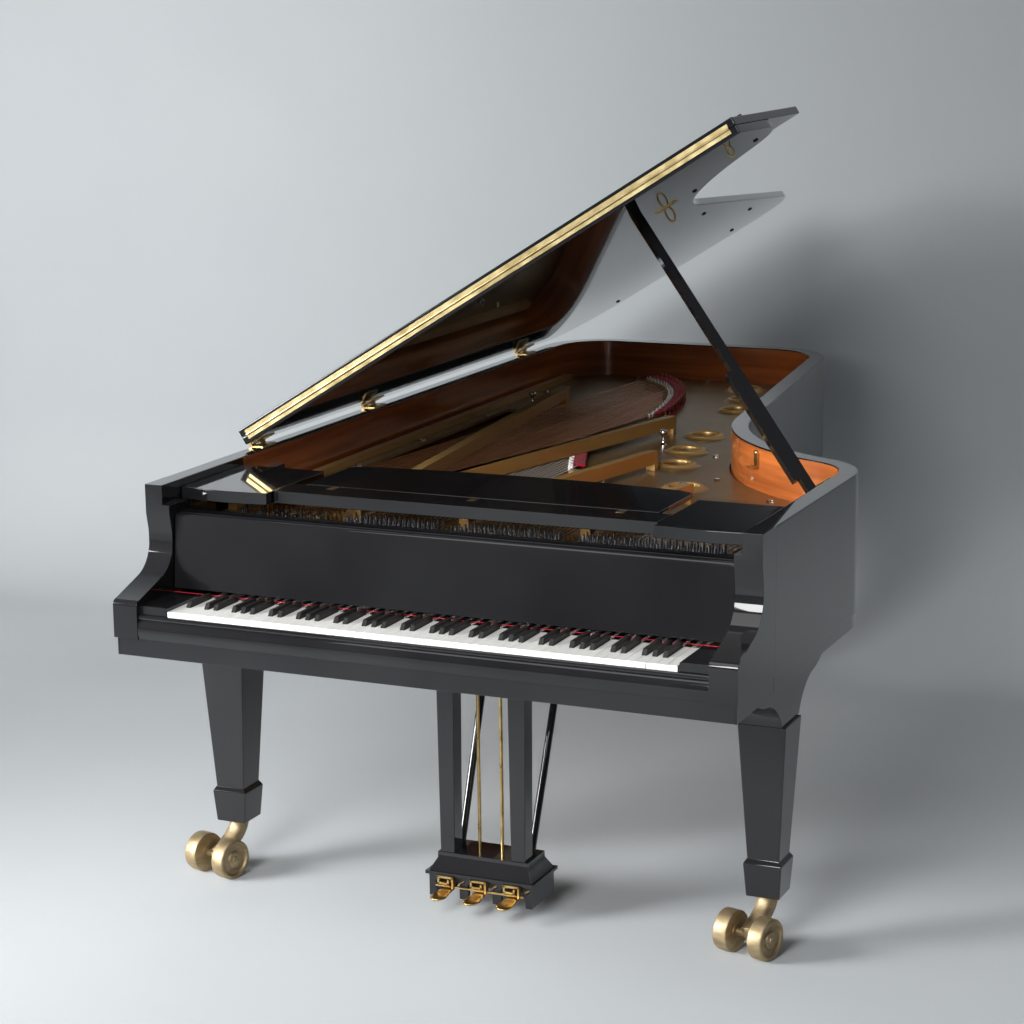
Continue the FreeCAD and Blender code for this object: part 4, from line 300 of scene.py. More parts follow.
# %% Round a profile
def rounded(corners, radius, steps=4):
    """A closed outline with each corner replaced by (1-t)^2 * before + 2t(1-t) * corner + t^2 * after.
    A point a little further out on each side keeps the flat faces flat when they are shaded smooth."""
    corners = np.asarray(corners, float)
    radius = np.broadcast_to(np.asarray(radius, float), len(corners))[:, None]
    before = np.roll(corners, 1, axis=0) - corners
    after = np.roll(corners, -1, axis=0) - corners
    before = before / np.linalg.norm(before, axis=1, keepdims=True) * radius
    after = after / np.linalg.norm(after, axis=1, keepdims=True) * radius
    t = np.linspace(0, 1, steps + 1)[None, :, None]
    curve = ((1 - t) ** 2 * before[:, None] + t ** 2 * after[:, None])
    curve = np.concatenate([1.5 * before[:, None], curve, 1.5 * after[:, None]], axis=1)
    return (corners[:, None] + curve).reshape(-1, 2)


# %% Round a CAD piece
def eased(node, width, segments=2, look=None):
    """A merged copy of a CAD piece with a Bevel of the given width in millimetres; it stands for the node."""
    source = nodes[node]
    mesh = source.data.copy()
    if "custom_normal" in mesh.attributes:
        mesh.attributes.remove(mesh.attributes["custom_normal"])
    work = bmesh.new()
    work.from_mesh(mesh)
    bmesh.ops.remove_doubles(work, verts=work.verts, dist=2e-6)
    bmesh.ops.dissolve_limit(work, angle_limit=math.radians(0.4), verts=work.verts, edges=work.edges)
    work.to_mesh(mesh)
    work.free()
    mesh.polygons.foreach_set("use_smooth", np.ones(len(mesh.polygons), dtype=bool))
    mesh.set_sharp_from_angle(angle=math.radians(32))
    obj = bpy.data.objects.new(f"{node}_eased", mesh)
    bpy.context.scene.collection.objects.link(obj)
    edge = obj.modifiers.new("edge", "BEVEL")
    edge.width = width / 1000
    edge.segments = segments
    edge.limit_method = "ANGLE"
    edge.angle_limit = math.radians(32)
    edge.harden_normals = True
    mesh.materials.clear()
    mesh.materials.append(finishes[look or slot_of[node]])
    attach(obj, source["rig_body"])
    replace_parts(obj, node)
    return obj


# %% [markdown]
# ## The bent rim
# A grand's rim is many thin boards glued in one long bend. Seen from above it is straights joined by four
# arcs, so its outline is written that way, and the rim's section is carried along it. Insetting the outline
# moves each arc's radius, which keeps the wall's thickness even all the way round. The low band that is set
# back at the bottom rises a little towards the arms, where it meets the top of the key bed.

# %% Case outline
def arc(centre, radius, first, last, count=40):
    """Centre plus radius times (cos, sin), for angles in degrees from first to last."""
    turns = np.radians(np.linspace(first, last, count))
    return np.stack([centre[0] + radius * np.cos(turns), centre[1] + radius * np.sin(turns)], axis=-1)


def case_outline(inset, front):
    """From the right front: side, bend, waist, long treble straight, tail, spine corner and spine."""
    bend, waist, tail, spine = 190.0, 598.0, 208.0, 190.0
    bend_turn, heading = 66.0, 7.2
    bend_centre = np.array([HALF_WIDTH - bend, 822.0])
    outward = np.array([math.cos(math.radians(bend_turn)), math.sin(math.radians(bend_turn))])
    aside = np.array([math.cos(math.radians(heading)), math.sin(math.radians(heading))])
    waist_centre = bend_centre + (bend + waist) * outward
    waist_end = waist_centre - waist * aside
    tail_y = CASE_LENGTH - tail * (1 - aside[1])
    tail_x = waist_end[0] - (tail_y - waist_end[1]) * math.tan(math.radians(heading))
    tail_centre = (tail_x - tail * aside[0], CASE_LENGTH - tail)
    runs = [
        [(HALF_WIDTH - inset, front)],
        arc(bend_centre, bend - inset, 0, bend_turn),
        arc(waist_centre, waist + inset, 180 + bend_turn, 180 + heading),
        arc(tail_centre, tail - inset, heading, 90),
        arc((spine - HALF_WIDTH, CASE_LENGTH - spine), spine - inset, 90, 180),
        [(inset - HALF_WIDTH, front)],
    ]
    return np.vstack(runs)


def along_case(section, front, end_section=None):
    """A section of (inset, height) points carried round the outline; at the two front ends it may change
    into another section, and there it is closed to a point."""
    rings = np.stack([place(*case_outline(inset, front).T, height) for inset, height in section], axis=1)
    last = section if end_section is None else end_section
    rings[0] = place(HALF_WIDTH - last[:, 0], front, last[:, 1])
    rings[-1] = place(last[:, 0] - HALF_WIDTH, front, last[:, 1])
    ends = rings[[0, -1]].mean(axis=1, keepdims=True)
    shut = np.broadcast_to(ends, (2,) + rings.shape[1:])
    return np.concatenate([shut[:1], rings, shut[1:]])


# %% Rim
PLINTH_TOP = RIM_BOTTOM + 34
RIM_FRONT = 245.0
RIM_SECTION = rounded(
    [(4, RIM_BOTTOM), (4, PLINTH_TOP), (0, PLINTH_TOP), (0, RIM_TOP), (RIM_THICKNESS, RIM_TOP),
     (RIM_THICKNESS, RIM_BOTTOM)],
    [1, 0.8, 1.2, 2.5, 2, 1])
BED_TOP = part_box("key_bed")[1].z * 1000
at_step = np.abs(RIM_SECTION[:, 1] - PLINTH_TOP) < 3
ARM_SECTION = RIM_SECTION + np.stack([0 * at_step, (BED_TOP - PLINTH_TOP) * at_step], axis=-1)
rim_grid = along_case(RIM_SECTION, RIM_FRONT, ARM_SECTION)
rim = surface("bent_rim", rim_grid, "black_polish", "case", ["outer_rim"], angle=50)
print("rim faces", len(rim.data.polygons))

# %% [markdown]
# ## Below the arms
# The key bed's ends are faced with a strip of black wood that carries the rim's low band on to the front, so
# the side of the case runs through without a break.

# %% Bed ends
def block_grid(low, high, radius):
    """A box as rounded rectangles (x, y) stacked at two heights, its top and bottom closed to a point."""
    corners = [(low[0], low[1]), (high[0], low[1]), (high[0], high[1]), (low[0], high[1])]
    flat = rounded(corners, radius, steps=2)
    middle = np.broadcast_to(flat.mean(axis=0), flat.shape)
    rows = np.stack([middle, flat, flat, middle])
    return place(rows[..., 0], rows[..., 1], np.array([low[2], low[2], high[2], high[2]])[:, None])


bed_ends = np.stack([block_grid((x, 8.0, RIM_BOTTOM), (x + 4, RIM_FRONT + 2, BED_TOP), 0.7)
                     for x in (HALF_WIDTH - 8, 4 - HALF_WIDTH)])
surface("bed_ends", bed_ends, "black_polish", "case")
print(len(bed_ends), "bed ends")

# %% [markdown]
# ## Veneer inside the rim
# Inside, above the soundboard, the rim is faced with polished reddish veneer that stops just under the black
# top edge. It is the same outline again, with a section only half a millimetre thick.

# %% Veneer
VENEER_FOOT, VENEER_HEAD, VENEER_FRONT = 852, RIM_TOP - 3, 530.0
VENEER_SECTION = rounded([(45.1, VENEER_FOOT), (45.1, VENEER_HEAD), (45.7, VENEER_HEAD), (45.7, VENEER_FOOT)],
                         0.15, steps=1)
veneer = surface("rim_veneer", along_case(VENEER_SECTION, VENEER_FRONT), "case_veneer", "case", angle=50)
print("veneer faces", len(veneer.data.polygons))

# %% [markdown]
# ## The black woodwork
# Lid, arms, legs and lyre are flat boards and blocks with worked edges, so the CAD solids already have their
# shape. Each gets a copy with eased edges and the polish; thick outer boards take a wider radius than thin
# ones.

# %% Ease the woodwork
WOODWORK = {
    "case_arms": 5.0, "key_bed": 1.2, "key_slip": 0.8, "key_blocks": 1.5, "fallboard": 1.6, "nameboard": 1.2,
    "lid_main": 3.0, "lid_flap": 3.0, "lid_prop": 2.0, "short_prop": 2.0, "music_shelf": 1.6,
    "music_wings": 1.8, "music_desk": 1.8, "legs": 2.2, "leg_brackets": 2.2, "lyre_pillars": 2.2,
    "lyre_box": 1.6, "lyre_braces": 0.6, "dampers": 1.0,
}
woodwork = [eased(node, width) for node, width in WOODWORK.items()]
print(len(woodwork), "wooden pieces eased")

# %% [markdown]
# ## Plate, keys and small metal
# The cast plate has soft edges everywhere, because sand moulds can't hold sharp ones. Keys are planed, so
# only their last millimetre is rounded. Brass leaves and brackets are filed by hand, and the long flap hinge
# is polished paler than the rest.

# %% Ease plate, keys and brackets
METALWORK = {
    "iron_plate": 2.2, "prop_bracket": 0.8, "prop_socket": 0.6, "rim_hinge_leaves": 0.4,
    "lid_hinge_leaves": 0.4, "desk_hinges": 0.4, "left_rod": 0.5, "middle_rod": 0.5, "right_rod": 0.5,
    "prop_hook": 1.0,
}
KEYS = {"white_keys": 0.6, "black_keys": 1.0}
metalwork = [eased(node, width) for node, width in {**METALWORK, **KEYS}.items()]
finish("hinge_brass", (0.40, 0.30, 0.13), (0.66, 0.54, 0.29), 30.0, rough=(0.24, 0.42), bump=(500.0, 0.03),
       detail=8.0, Metallic=0.9)
metalwork += [eased(f"flap_hinge_{leaf}_leaf", 0.2, look="hinge_brass") for leaf in ("lid", "flap")]
print(len(metalwork), "plate, key and metal pieces eased")

# %% [markdown]
# ## Where the strings run
# Each of the 88 notes has one, two or three strings. They start at the tuning pins, pass an agraffe, cross
# the bridge and end at a hitch pin. The treble's lengths grow by a constant ratio from note to note; the bass
# strings cross over to a bridge of their own. All of it is one array per station.

# %% Stations of the strings
NOTE = np.arange(88)
BASS = NOTE < 20
IS_SHARP = np.isin((NOTE + 9) % 12, [1, 3, 6, 8, 10])
NOTE_X = 12.3 * NOTE + 44.0 * (NOTE[:, None] >= np.array([20, 39, 60])).sum(axis=1) - 601.05
AGRAFFE_Y, STRING_Z = 412.5, 905.0


def bridge_places():
    """Treble: agraffe line plus 92 mm times a ratio to the power of the note. Bass: a quadratic curve."""
    steps = (87 - NOTE) / 67
    treble = np.stack([NOTE_X, AGRAFFE_Y + 92.0 * (1496.0 / 92.0) ** steps], axis=-1)
    t = np.clip(NOTE / 19, 0, 1)[:, None]
    ends = np.array([(-0.525, 0.917), (-0.270, 0.866), (-0.205, 0.690)]) * (HALF_WIDTH, CASE_LENGTH)
    bass = (1 - t) ** 2 * ends[0] + 2 * t * (1 - t) * ends[1] + t ** 2 * ends[2]
    return np.where(BASS[:, None], bass, treble)


BRIDGE = bridge_places()
AGRAFFE = np.stack([NOTE_X, np.full(88, AGRAFFE_Y)], axis=-1)
HEADING = (BRIDGE - AGRAFFE) / np.linalg.norm(BRIDGE - AGRAFFE, axis=1, keepdims=True)
HITCH = BRIDGE + HEADING * (60 + 35 * (88 - NOTE) / 88)[:, None]
LEVEL = STRING_Z + 14.0 * BASS
print("longest string", round(float(np.linalg.norm(HITCH - AGRAFFE, axis=1).max())), "mm")

# %% [markdown]
# ## Strings
# A tube of four or six sides is enough for a wire a millimetre thick. Its radius is an array along the wire:
# constant for steel, and stepping up where a bass string's copper winding starts and ends.

# %% Draw the wires
COUNT = np.where(NOTE < 8, 1, np.where(BASS, 2, 3))
WIRE = np.repeat(NOTE, COUNT)
NTH = np.arange(len(WIRE)) - np.repeat(np.cumsum(COUNT) - COUNT, COUNT)
ASIDE = (NTH - (COUNT[WIRE] - 1) / 2) * np.where(BASS[WIRE], 4.2, 2.1)
ROW = np.arange(len(WIRE)) % 4


def wires(chosen, stations, radii, sides):
    """Ring point = station + radius * (cos(angle) * across + sin(angle) * up); the end rings are points."""
    across = np.stack([HEADING[chosen][:, 1], -HEADING[chosen][:, 0], np.zeros(len(chosen))], axis=-1)
    turns = np.linspace(0, 2 * np.pi, sides, endpoint=False)
    cosines, sines = np.cos(turns)[None, :, None], np.sin(turns)[None, :, None]
    spokes = cosines * across[:, None] + sines * np.array([0, 0, 1.0])
    radii = np.concatenate([[0], radii, [0]])[None, :, None, None] / 1000
    stations = np.concatenate([stations[:, :1], stations, stations[:, -1:]], axis=1)
    return stations[:, :, None] + radii * spokes[:, None]


def wire_stations(chosen, aside, row, shares):
    """Places along each wire: tuning pin, agraffe, shares of the way to the bridge, bridge and hitch pin."""
    out = np.stack([HEADING[chosen][:, 1], -HEADING[chosen][:, 0]], axis=-1) * aside[:, None]
    start = AGRAFFE[chosen] + out
    end = BRIDGE[chosen] + out
    pin = start - HEADING[chosen] * (38 + 26 * row)[:, None]
    middle = [start + (end - start) * share for share in shares]
    tail = HITCH[chosen] + out * 0.4
    flat = np.stack([pin, start, *middle, end, tail], axis=1)
    return place(flat[..., 0], flat[..., 1], LEVEL[chosen][:, None])


is_bass = BASS[WIRE]
steel = wire_stations(WIRE[~is_bass], ASIDE[~is_bass], ROW[~is_bass], [])
surface("treble_wires", wires(WIRE[~is_bass], steel, [0.5, 0.5, 0.5, 0.5], 4), "string_steel", "case",
        ["treble_strings"], angle=60)
wound = wire_stations(WIRE[is_bass], ASIDE[is_bass], ROW[is_bass], [0.02, 0.024, 0.972, 0.976])
WOUND_RADII = [0.7, 0.7, 0.7, 1.75, 1.75, 0.7, 0.7, 0.7]
surface("bass_wires", wires(WIRE[is_bass], wound, WOUND_RADII, 6), "copper_wire", "case", ["bass_strings"],
        angle=60)
print(len(WIRE), "wires for 88 notes")

# %% [markdown]
# ## Tuning pins and bridge pins
# Every wire is wound on a pin of blued steel with a narrower head, and held sideways on the bridge by a pin
# at each edge of it. There are hundreds of each, so one profile with few faces is repeated at all places.

# %% Pins
pin_ends = np.concatenate([steel[:, 0], wound[:, 0]])
pin_feet = pin_ends - np.array([0, 0.0045, 0])
pin_feet[:, 2] = PLATE_TOP / 1000
PIN_PROFILE = [(0, 0), (3.4, 0), (3.4, 24), (2.6, 25), (2.2, 33), (0, 33)]
surface("tuning_pin_rows", turned(PIN_PROFILE, pin_feet, sides=6), "pin_steel", "case", ["tuning_pins"])
over_bridge = np.concatenate([steel[:, 2], wound[:, -2]])
aim = np.pad(np.concatenate([HEADING[WIRE[~is_bass]], HEADING[WIRE[is_bass]]]), ((0, 0), (0, 1)))
bridge_feet = np.concatenate([over_bridge - 0.009 * aim, over_bridge + 0.009 * aim]) + (0.0014, 0, -0.006)
BRIDGE_PIN = [(0, 0), (1.5, 0), (1.5, 11.4), (0.8, 12.4), (0, 12.6)]
surface("bridge_pin_rows", turned(BRIDGE_PIN, bridge_feet, sides=5), "chrome", "case", look="bridge_pin")
print(len(pin_feet), "tuning pins,", len(bridge_feet), "bridge pins")

# %% [markdown]
# ## Bolts of the plate
# Hexagon bolts hold the plate down round its edge; tall polished nose bolts with a wide cap, narrow waist and
# wide base hold it off the case beams. A lathe with six sides makes a hexagon, one with forty a round.

# %% Plate bolts
NOSE_PLACES = [(55 - 635.0, 412.5 + 1496 + 48 + 47), (0.005 * HALF_WIDTH, 0.575 * CASE_LENGTH),
               (0.400 * HALF_WIDTH, 0.335 * CASE_LENGTH)]
SPOOL = [(0, 0), (11, 0), (11, 4), (10, 6), (6.2, 10), (4.6, 18), (4.6, 26), (6.4, 33), (10.4, 36.5),
         (11.2, 39), (11.2, 43), (9.6, 45.4), (5, 46), (0, 46)]
nose_feet = place(*np.array(NOSE_PLACES).T, PLATE_TOP)
surface("nose_bolts", turned(SPOOL, nose_feet, sides=40), "chrome", "case", ["plate_bolts"])


def bolt_feet(inset=100.0):
    """Places round the plate's edge, at shares of the straights and arcs of the inset outline."""
    line = case_outline(inset, 248.0)
    side, treble, tail, spine = line[[0, 1]], line[[80, 81]], line[[120, 121]], line[[160, 161]]
    straight = [ends[0] + (ends[1] - ends[0]) * np.array(shares)[:, None] for ends, shares in (
        (side, [0.505, 0.927]), (treble, [0.296, 0.554, 0.865]), (tail, [0.385, 0.843]),
        (spine, [0.107, 0.298, 0.489, 0.656, 0.812]))]
    waist = line[41:81][np.round(np.array([0.153, 0.571, 1.0]) * 39).astype(int)]
    return np.vstack(straight + [waist])


HEX = [(0, 0), (9.5, 0), (9.5, 1), (8, 1), (8, 5), (7, 6), (0, 6)]
bolt_places = place(*bolt_feet().T, PLATE_TOP)
surface("plate_bolt_heads", turned(HEX, bolt_places, sides=6), "chrome", "case", angle=20)
print(len(bolt_places), "bolts and", len(nose_feet), "nose bolts")

# %% [markdown]
# ## Rings round the sound holes
# Seven holes in the plate let sound out, each with a cast ring that swells and runs down into the web. The
# lathe makes the swell: a profile that rises steeply at the hole and falls slowly outwards.

# %% Sound hole rings
HOLE_SHARES = np.array([(0.082, 0.640), (0.118, 0.558), (0.175, 0.487), (0.335, 0.385), (-0.120, 0.930),
                        (-0.040, 0.862), (0.010, 0.795)])
RING = [(37.4, -2), (37.4, 6), (38.6, 9), (41.5, 10.6), (45, 10.2), (50, 7.4), (56, 3), (61, 0.8), (64, 0.2),
        (64, -2), (37.4, -2)]
hole_places = place(*(HOLE_SHARES * (HALF_WIDTH, CASE_LENGTH)).T, PLATE_TOP)
surface("hole_rings", turned(RING, hole_places, sides=56), "plate_bronze", "case", angle=50)
print(len(hole_places), "rings")

# %% [markdown]
# ## Felt
# Red felt lies on the plate under the string tails, and a red braid is woven between the tails behind the
# bridge, so they can't ring. A thin red strip fills the line between the keys and the fallboard. Felt is
# soft: its section is a low crown, never a box.

# %% Felt strips
def crowned(path, width, height, turns=10):
    """Across a path of (x, y) points: width / 2 * cos(angle) sideways and height * sin(angle)^0.5 up."""
    along = np.gradient(path, axis=0)
    out = np.stack([along[:, 1], -along[:, 0]], axis=-1) / np.linalg.norm(along, axis=1, keepdims=True)
    angle = np.linspace(0, np.pi, turns)
    aside, up = width / 2 * np.cos(angle), height * np.sqrt(np.sin(angle).clip(0))
    flat = path[:, None] + out[:, None] * aside[None, :, None]
    rings = np.concatenate([flat, np.broadcast_to(up[None, :, None], flat.shape[:2] + (1,))], axis=-1)
    ends = np.broadcast_to(rings[[0, -1]].mean(axis=1, keepdims=True), (2,) + rings.shape[1:])
    return np.concatenate([ends[:1], rings, ends[1:]])


bass_felt = crowned(HITCH[:20] - (0, 26), 26, 3.4)
tenor_felt = crowned(HITCH[20:31] - (0, 19.5), 13, 3.2)
strip = np.stack([np.linspace(-686, 686, 30), np.full(30, 162.2)], axis=-1)
key_felt = crowned(strip, 1.8, 1.2)
surface("bass_felt", place(*np.moveaxis(bass_felt, -1, 0)) + (0, 0, PLATE_TOP / 1000), "red_felt", "case",
        ["string_felt"])
surface("tenor_felt", place(*np.moveaxis(tenor_felt, -1, 0)) + (0, 0, PLATE_TOP / 1000), "red_felt", "case")
surface("key_felt", place(*np.moveaxis(key_felt, -1, 0)) + (0, 0, 0.7515), "red_felt", "case")
REACH = np.linalg.norm(HITCH - BRIDGE, axis=1)[:, None]
BRAIDS = (("bass_braid", slice(0, 20), 0.38, 19), ("bass_edge_braid", slice(1, 20), 0.86, 13),
          ("tenor_braid", slice(27, 39), 0.60, 40))
for name, chosen, share, wide in BRAIDS:
    line = BRIDGE[chosen] + HEADING[chosen] * (12 + (REACH[chosen] - 12) * share)
    lift = (LEVEL[chosen][0] - 3.0) / 1000
    surface(name, place(*np.moveaxis(crowned(line, wide, 6.0), -1, 0)) + (0, 0, lift), "red_felt", "case")
print("felt strips 26, 13 and 1.8 mm wide, braids 19, 13 and 40 mm")

# %% [markdown]
# ## Hammers
# A hammer is a pear of pressed felt on a wooden head and a slim shank. All the hammers of the white keys move
# together in this model, and so do those of the black keys, so each bank is one mesh of heads and one of
# shanks.

# %% Hammer banks
PEAR = np.array([(0, 35), (2.6, 34), (5, 30), (7, 23), (7.6, 16), (5.5, 8), (4, 0), (4, -11), (0, -12),
                 (-4, -11), (-4, 0), (-5.5, 8), (-7.6, 16), (-7, 23), (-5, 30), (-2.6, 34)], float)
HAMMER_Y, HAMMER_Z, SHANK = 344.5, 838.0, 122.0


def bars(outline, x, wide, y, z):
    """An outline of (y, z) points carried across a short width at each x, both ends closed to a point."""
    across = np.array([-wide / 2, -wide / 2, wide / 2, wide / 2])
    shrink = np.array([0, 1, 1, 0])[:, None, None]
    shape = shrink * (outline - outline.mean(axis=0)) + outline.mean(axis=0)
    copies = np.broadcast_to(x[:, None, None], (len(x), 4, len(outline))) + across[None, :, None]
    return place(copies, shape[None, ..., 0] + y, shape[None, ..., 1] + z)


for bank, chosen in (("natural", ~IS_SHARP), ("sharp", IS_SHARP)):
    rod = rounded([(0, -3), (SHANK, -3), (SHANK, 3), (0, 3)], 1.2, steps=1)
    surface(f"{bank}_hammer_heads", bars(PEAR, NOTE_X[chosen], 8, HAMMER_Y + SHANK, HAMMER_Z), "hammer_felt",
            f"{bank}_hammer_bank", [f"{bank}_hammers"], angle=50)
    surface(f"{bank}_hammer_shanks", bars(rod, NOTE_X[chosen], 6, HAMMER_Y, HAMMER_Z), "beech",
            f"{bank}_hammer_bank")
print("hammers", int((~IS_SHARP).sum()), "and", int(IS_SHARP.sum()))

# %% [markdown]
# ## Caster wheels
# The piano rolls on big brass wheels, two to a leg. A plain disc would look like a coin: the real wheel has a
# rounded tread, a dished face and a hub with a domed cap. The axle line comes from the wheel's own joint.

# %% Wheels
finish("aged_brass", (0.29, 0.215, 0.120), (0.46, 0.36, 0.215), 26.0, stretch=(1, 1, 3), rough=(0.42, 0.58),
       bump=(650.0, 0.10), detail=9.0, Metallic=0.85)
WHEEL = [(0, 21.4), (7.4, 21.4), (9, 20.4), (9.6, 17.8), (17.6, 17.8), (19.4, 16.8), (20, 14.8), (20.8, 12.2),
         (22.4, 11.4), (34.6, 11.4), (36.6, 12.2), (38, 16), (39.4, 17.8), (41, 18.4), (45, 18.2), (47, 17),
         (48, 14.4), (48, -14.6), (47.4, -16.8), (45.6, -18), (20, -18), (20, -20), (9, -20), (9, -46),
         (0, -46)]
HALF_TRACK = 0.046
for leg in ("left", "right", "tail"):
    roll = joint_of[f"{leg}_roll"]
    axle = np.array(roll["axis"], float)
    middle = np.array(roll["pos_m"], float)
    pair = np.concatenate([turned(WHEEL, middle + HALF_TRACK * way, way) for way in (axle, -axle)])
    surface(f"{leg}_wheels", pair, "brass", f"{leg}_rollers", [f"{leg}_caster_wheels"], angle=40,
            look="aged_brass")
print("six wheels of 96 mm")

# %% [markdown]
# ## Caster horns
# Between the two wheels a cast horn runs from the swivel under the leg down to the axle. It is a round at the
# top that changes into a flat oval at the axle, so its half widths are ramps along a bent middle line.

# %% Horns
def horn(top, axle_middle, axle):
    """Middle line (1-t)^2 * top + 2t(1-t) * knee + t^2 * axle middle; ring = middle + half * cos(a) * axle
    direction + deep * sin(a) * the direction square to both."""
    knee = np.array([top[0], top[1], 0.078])
    t = np.linspace(0, 1, 14)[:, None]
    line = (1 - t) ** 2 * top + 2 * t * (1 - t) * knee + t ** 2 * axle_middle
    aim = np.gradient(line, axis=0)
    aim /= np.linalg.norm(aim, axis=1, keepdims=True)
    back = np.cross(aim, axle)
    a = np.linspace(0, 2 * np.pi, 24, endpoint=False)
    half, deep = 0.024 - 0.002 * t, 0.024 - 0.006 * t
    wide_part = half[:, None] * np.cos(a)[:, None] * axle
    deep_part = deep[:, None] * np.sin(a)[:, None] * back[:, None]
    rings = line[:, None] + wide_part + deep_part
    tips = np.stack([line[0], line[-1] + 0.012 * aim[-1]])[:, None]
    shut = np.broadcast_to(tips, (2,) + rings.shape[1:])
    return np.concatenate([shut[:1], rings, shut[1:]])


for leg in ("left", "right", "tail"):
    roll = joint_of[f"{leg}_roll"]
    swivel = np.array(joint_of[f"{leg}_swivel_turn"]["pos_m"], float)
    top = np.array([swivel[0], swivel[1], 0.1215])
    surface(f"{leg}_horn", horn(top, np.array(roll["pos_m"], float), np.array(roll["axis"], float)), "brass",
            f"{leg}_swivel", [f"{leg}_caster_fork"], look="aged_brass", angle=50)
print("three horns")

# %% [markdown]
# ## Pedals
# A pedal is a brass bar that spreads into a spoon for the foot. Its middle line runs from the axle to the
# toe, its half width swells and then closes in a half ellipse, and its section is a flattened oval with a
# crown.

# %% Pedals
PEDAL_AXLE_Y, PEDAL_TOE_Y, PEDAL_Z = 424.0, 253.2, 52.0


def spoon(tail_x, toe_x):
    """Along t from axle to toe: half width 9, then 15, then 20 mm, closing as sqrt(1 - u^2) at the toe."""
    t = np.concatenate([np.linspace(0, 0.86, 26), 0.86 + 0.14 * np.sin(np.linspace(0, np.pi / 2, 14)[1:])])
    y = PEDAL_AXLE_Y - t * (PEDAL_AXLE_Y - PEDAL_TOE_Y)
    ease = np.clip((404 - y) / 86, 0, 1)
    x = tail_x + (toe_x - tail_x) * ease ** 2 * (3 - 2 * ease)
    half = 9 + 6 * np.clip((400 - y) / 70, 0, 1) + 5 * np.clip((325 - y) / 50, 0, 1) ** 1.5
    close = np.sqrt(np.clip(1 - ((t - 0.86) / 0.14).clip(0) ** 2, 0, 1))
    rise = 2.0 * np.clip((330 - y) / 77, 0, 1) ** 2
    angle = np.linspace(0, 2 * np.pi, 28, endpoint=False)
    aside = np.sign(np.cos(angle)) * np.abs(np.cos(angle)) ** 0.6
    up = np.sign(np.sin(angle)) * np.abs(np.sin(angle)) ** 0.8 * 4.4
    height = PEDAL_Z - rise[:, None] + up * close[:, None] ** 0.6
    grid = place(x[:, None] + (half * close)[:, None] * aside, y[:, None], height)
    start = np.broadcast_to(grid[:1].mean(axis=1, keepdims=True), grid[:1].shape)
    return np.concatenate([start, grid])


for name, side in (("left", -1), ("middle", 0), ("right", 1)):
    bar = spoon(-20 + 58 * side, 10 + 84 * side)
    surface(f"{name}_spoon", bar, "brass", f"{name}_foot", [f"{name}_pedal"], angle=60)
print("three pedals")

# %% [markdown]
# ## Pedal guards
# On the front of the lyre box each pedal has a brass guard, bent into a square spiral, and one thin rail
# joins them. Bars with rounded corners, one for each straight, make them; at a bend two bars overlap.

# %% Guards
def straight_bars(starts, ends, half, deep):
    """Ring point = end + half * a * side + deep * b * y-axis, with (a, b) on a rounded square. The end rings
    are set half a bar further out, so that bars meet at a bend, and shrink to points."""
    starts, ends = np.asarray(starts, float), np.asarray(ends, float)
    aim = (ends - starts) / np.linalg.norm(ends - starts, axis=1, keepdims=True)
    side = np.cross(aim, (0, 1.0, 0))
    square = rounded([(-1, -1), (1, -1), (1, 1), (-1, 1)], 0.25, steps=2)
    ring = half * square[None, :, :1] * side[:, None] + deep * square[None, :, 1:] * np.array([0, 1.0, 0])
    starts, ends = starts - aim * half, ends + aim * half
    rows = np.stack([starts, starts, ends, ends], axis=1)[:, :, None]
    bars = rows + np.array([0, 1, 1, 0])[None, :, None, None] * ring[:, None]
    return place(*np.moveaxis(bars, -1, 0))


GUARD = np.array([(18, 61), (18, 84), (-18, 84), (-18, 69), (7, 69), (7, 76)], float)
TOES = 10 + 84 * np.array([-1, 0, 1])
starts = [(x + a, 318.5, z) for x in TOES for a, z in GUARD[:-1]] + [(TOES[0] - 26, 321, 61)]
stops = [(x + a, 318.5, z) for x in TOES for a, z in GUARD[1:]] + [(TOES[2] + 26, 321, 61)]
surface("guard_bars", straight_bars(starts, stops, 2.7, 6.4)[:-1], "brass", "case", ["pedal_guards"])
surface("guard_rail", straight_bars(starts[-1:], stops[-1:], 1.8, 3.6), "brass", "case")
print(len(TOES), "guards")

# %% [markdown]
# ## Knobs, loops and buttons
# Small fittings tell the eye the scale: rubber buttons where the lid lands on the rim, a knob on the flap, a
# ball on the prop's hook and two brass loops under the lid. Most are lathe profiles at listed places.

# %% Fittings
LID_SLOPE = math.radians(31.4)


def on_lid(u, y, lift):
    """A place on the lid's underside: u millimetres up from the hinge line, lifted square to the board."""
    x = -(HALF_WIDTH + 6) + u * math.cos(LID_SLOPE) - lift * math.sin(LID_SLOPE)
    return place(x, y, RIM_TOP + 6 + u * math.sin(LID_SLOPE) + lift * math.cos(LID_SLOPE))


LID_DOWN = (math.sin(LID_SLOPE), 0, -math.cos(LID_SLOPE))
BUTTONS = np.array([(877, 2282), (700, 2560), (956, 1700), (240, 2610), (1172, 1119), (1440, 900)], float)
button_places = on_lid(BUTTONS[:, 0], BUTTONS[:, 1], 0)
BUTTON = [(0, 3.6), (4, 3.4), (6.2, 2.2), (7, 0), (0, 0)]
surface("lid_buttons", turned(BUTTON, button_places, axis=LID_DOWN, sides=20), "key_black", "lid")
LID_UP = (-LID_DOWN[0], 0, -LID_DOWN[2])
KNOB = [(0, 0), (10, 0), (10, 2), (6, 4), (5, 8), (7.4, 11), (9, 13.4), (8, 15.4), (4, 16), (0, 16)]
surface("flap_knob", turned(KNOB, on_lid(1468, 787, 40.5), axis=LID_UP, sides=32), "black_polish", "flap")


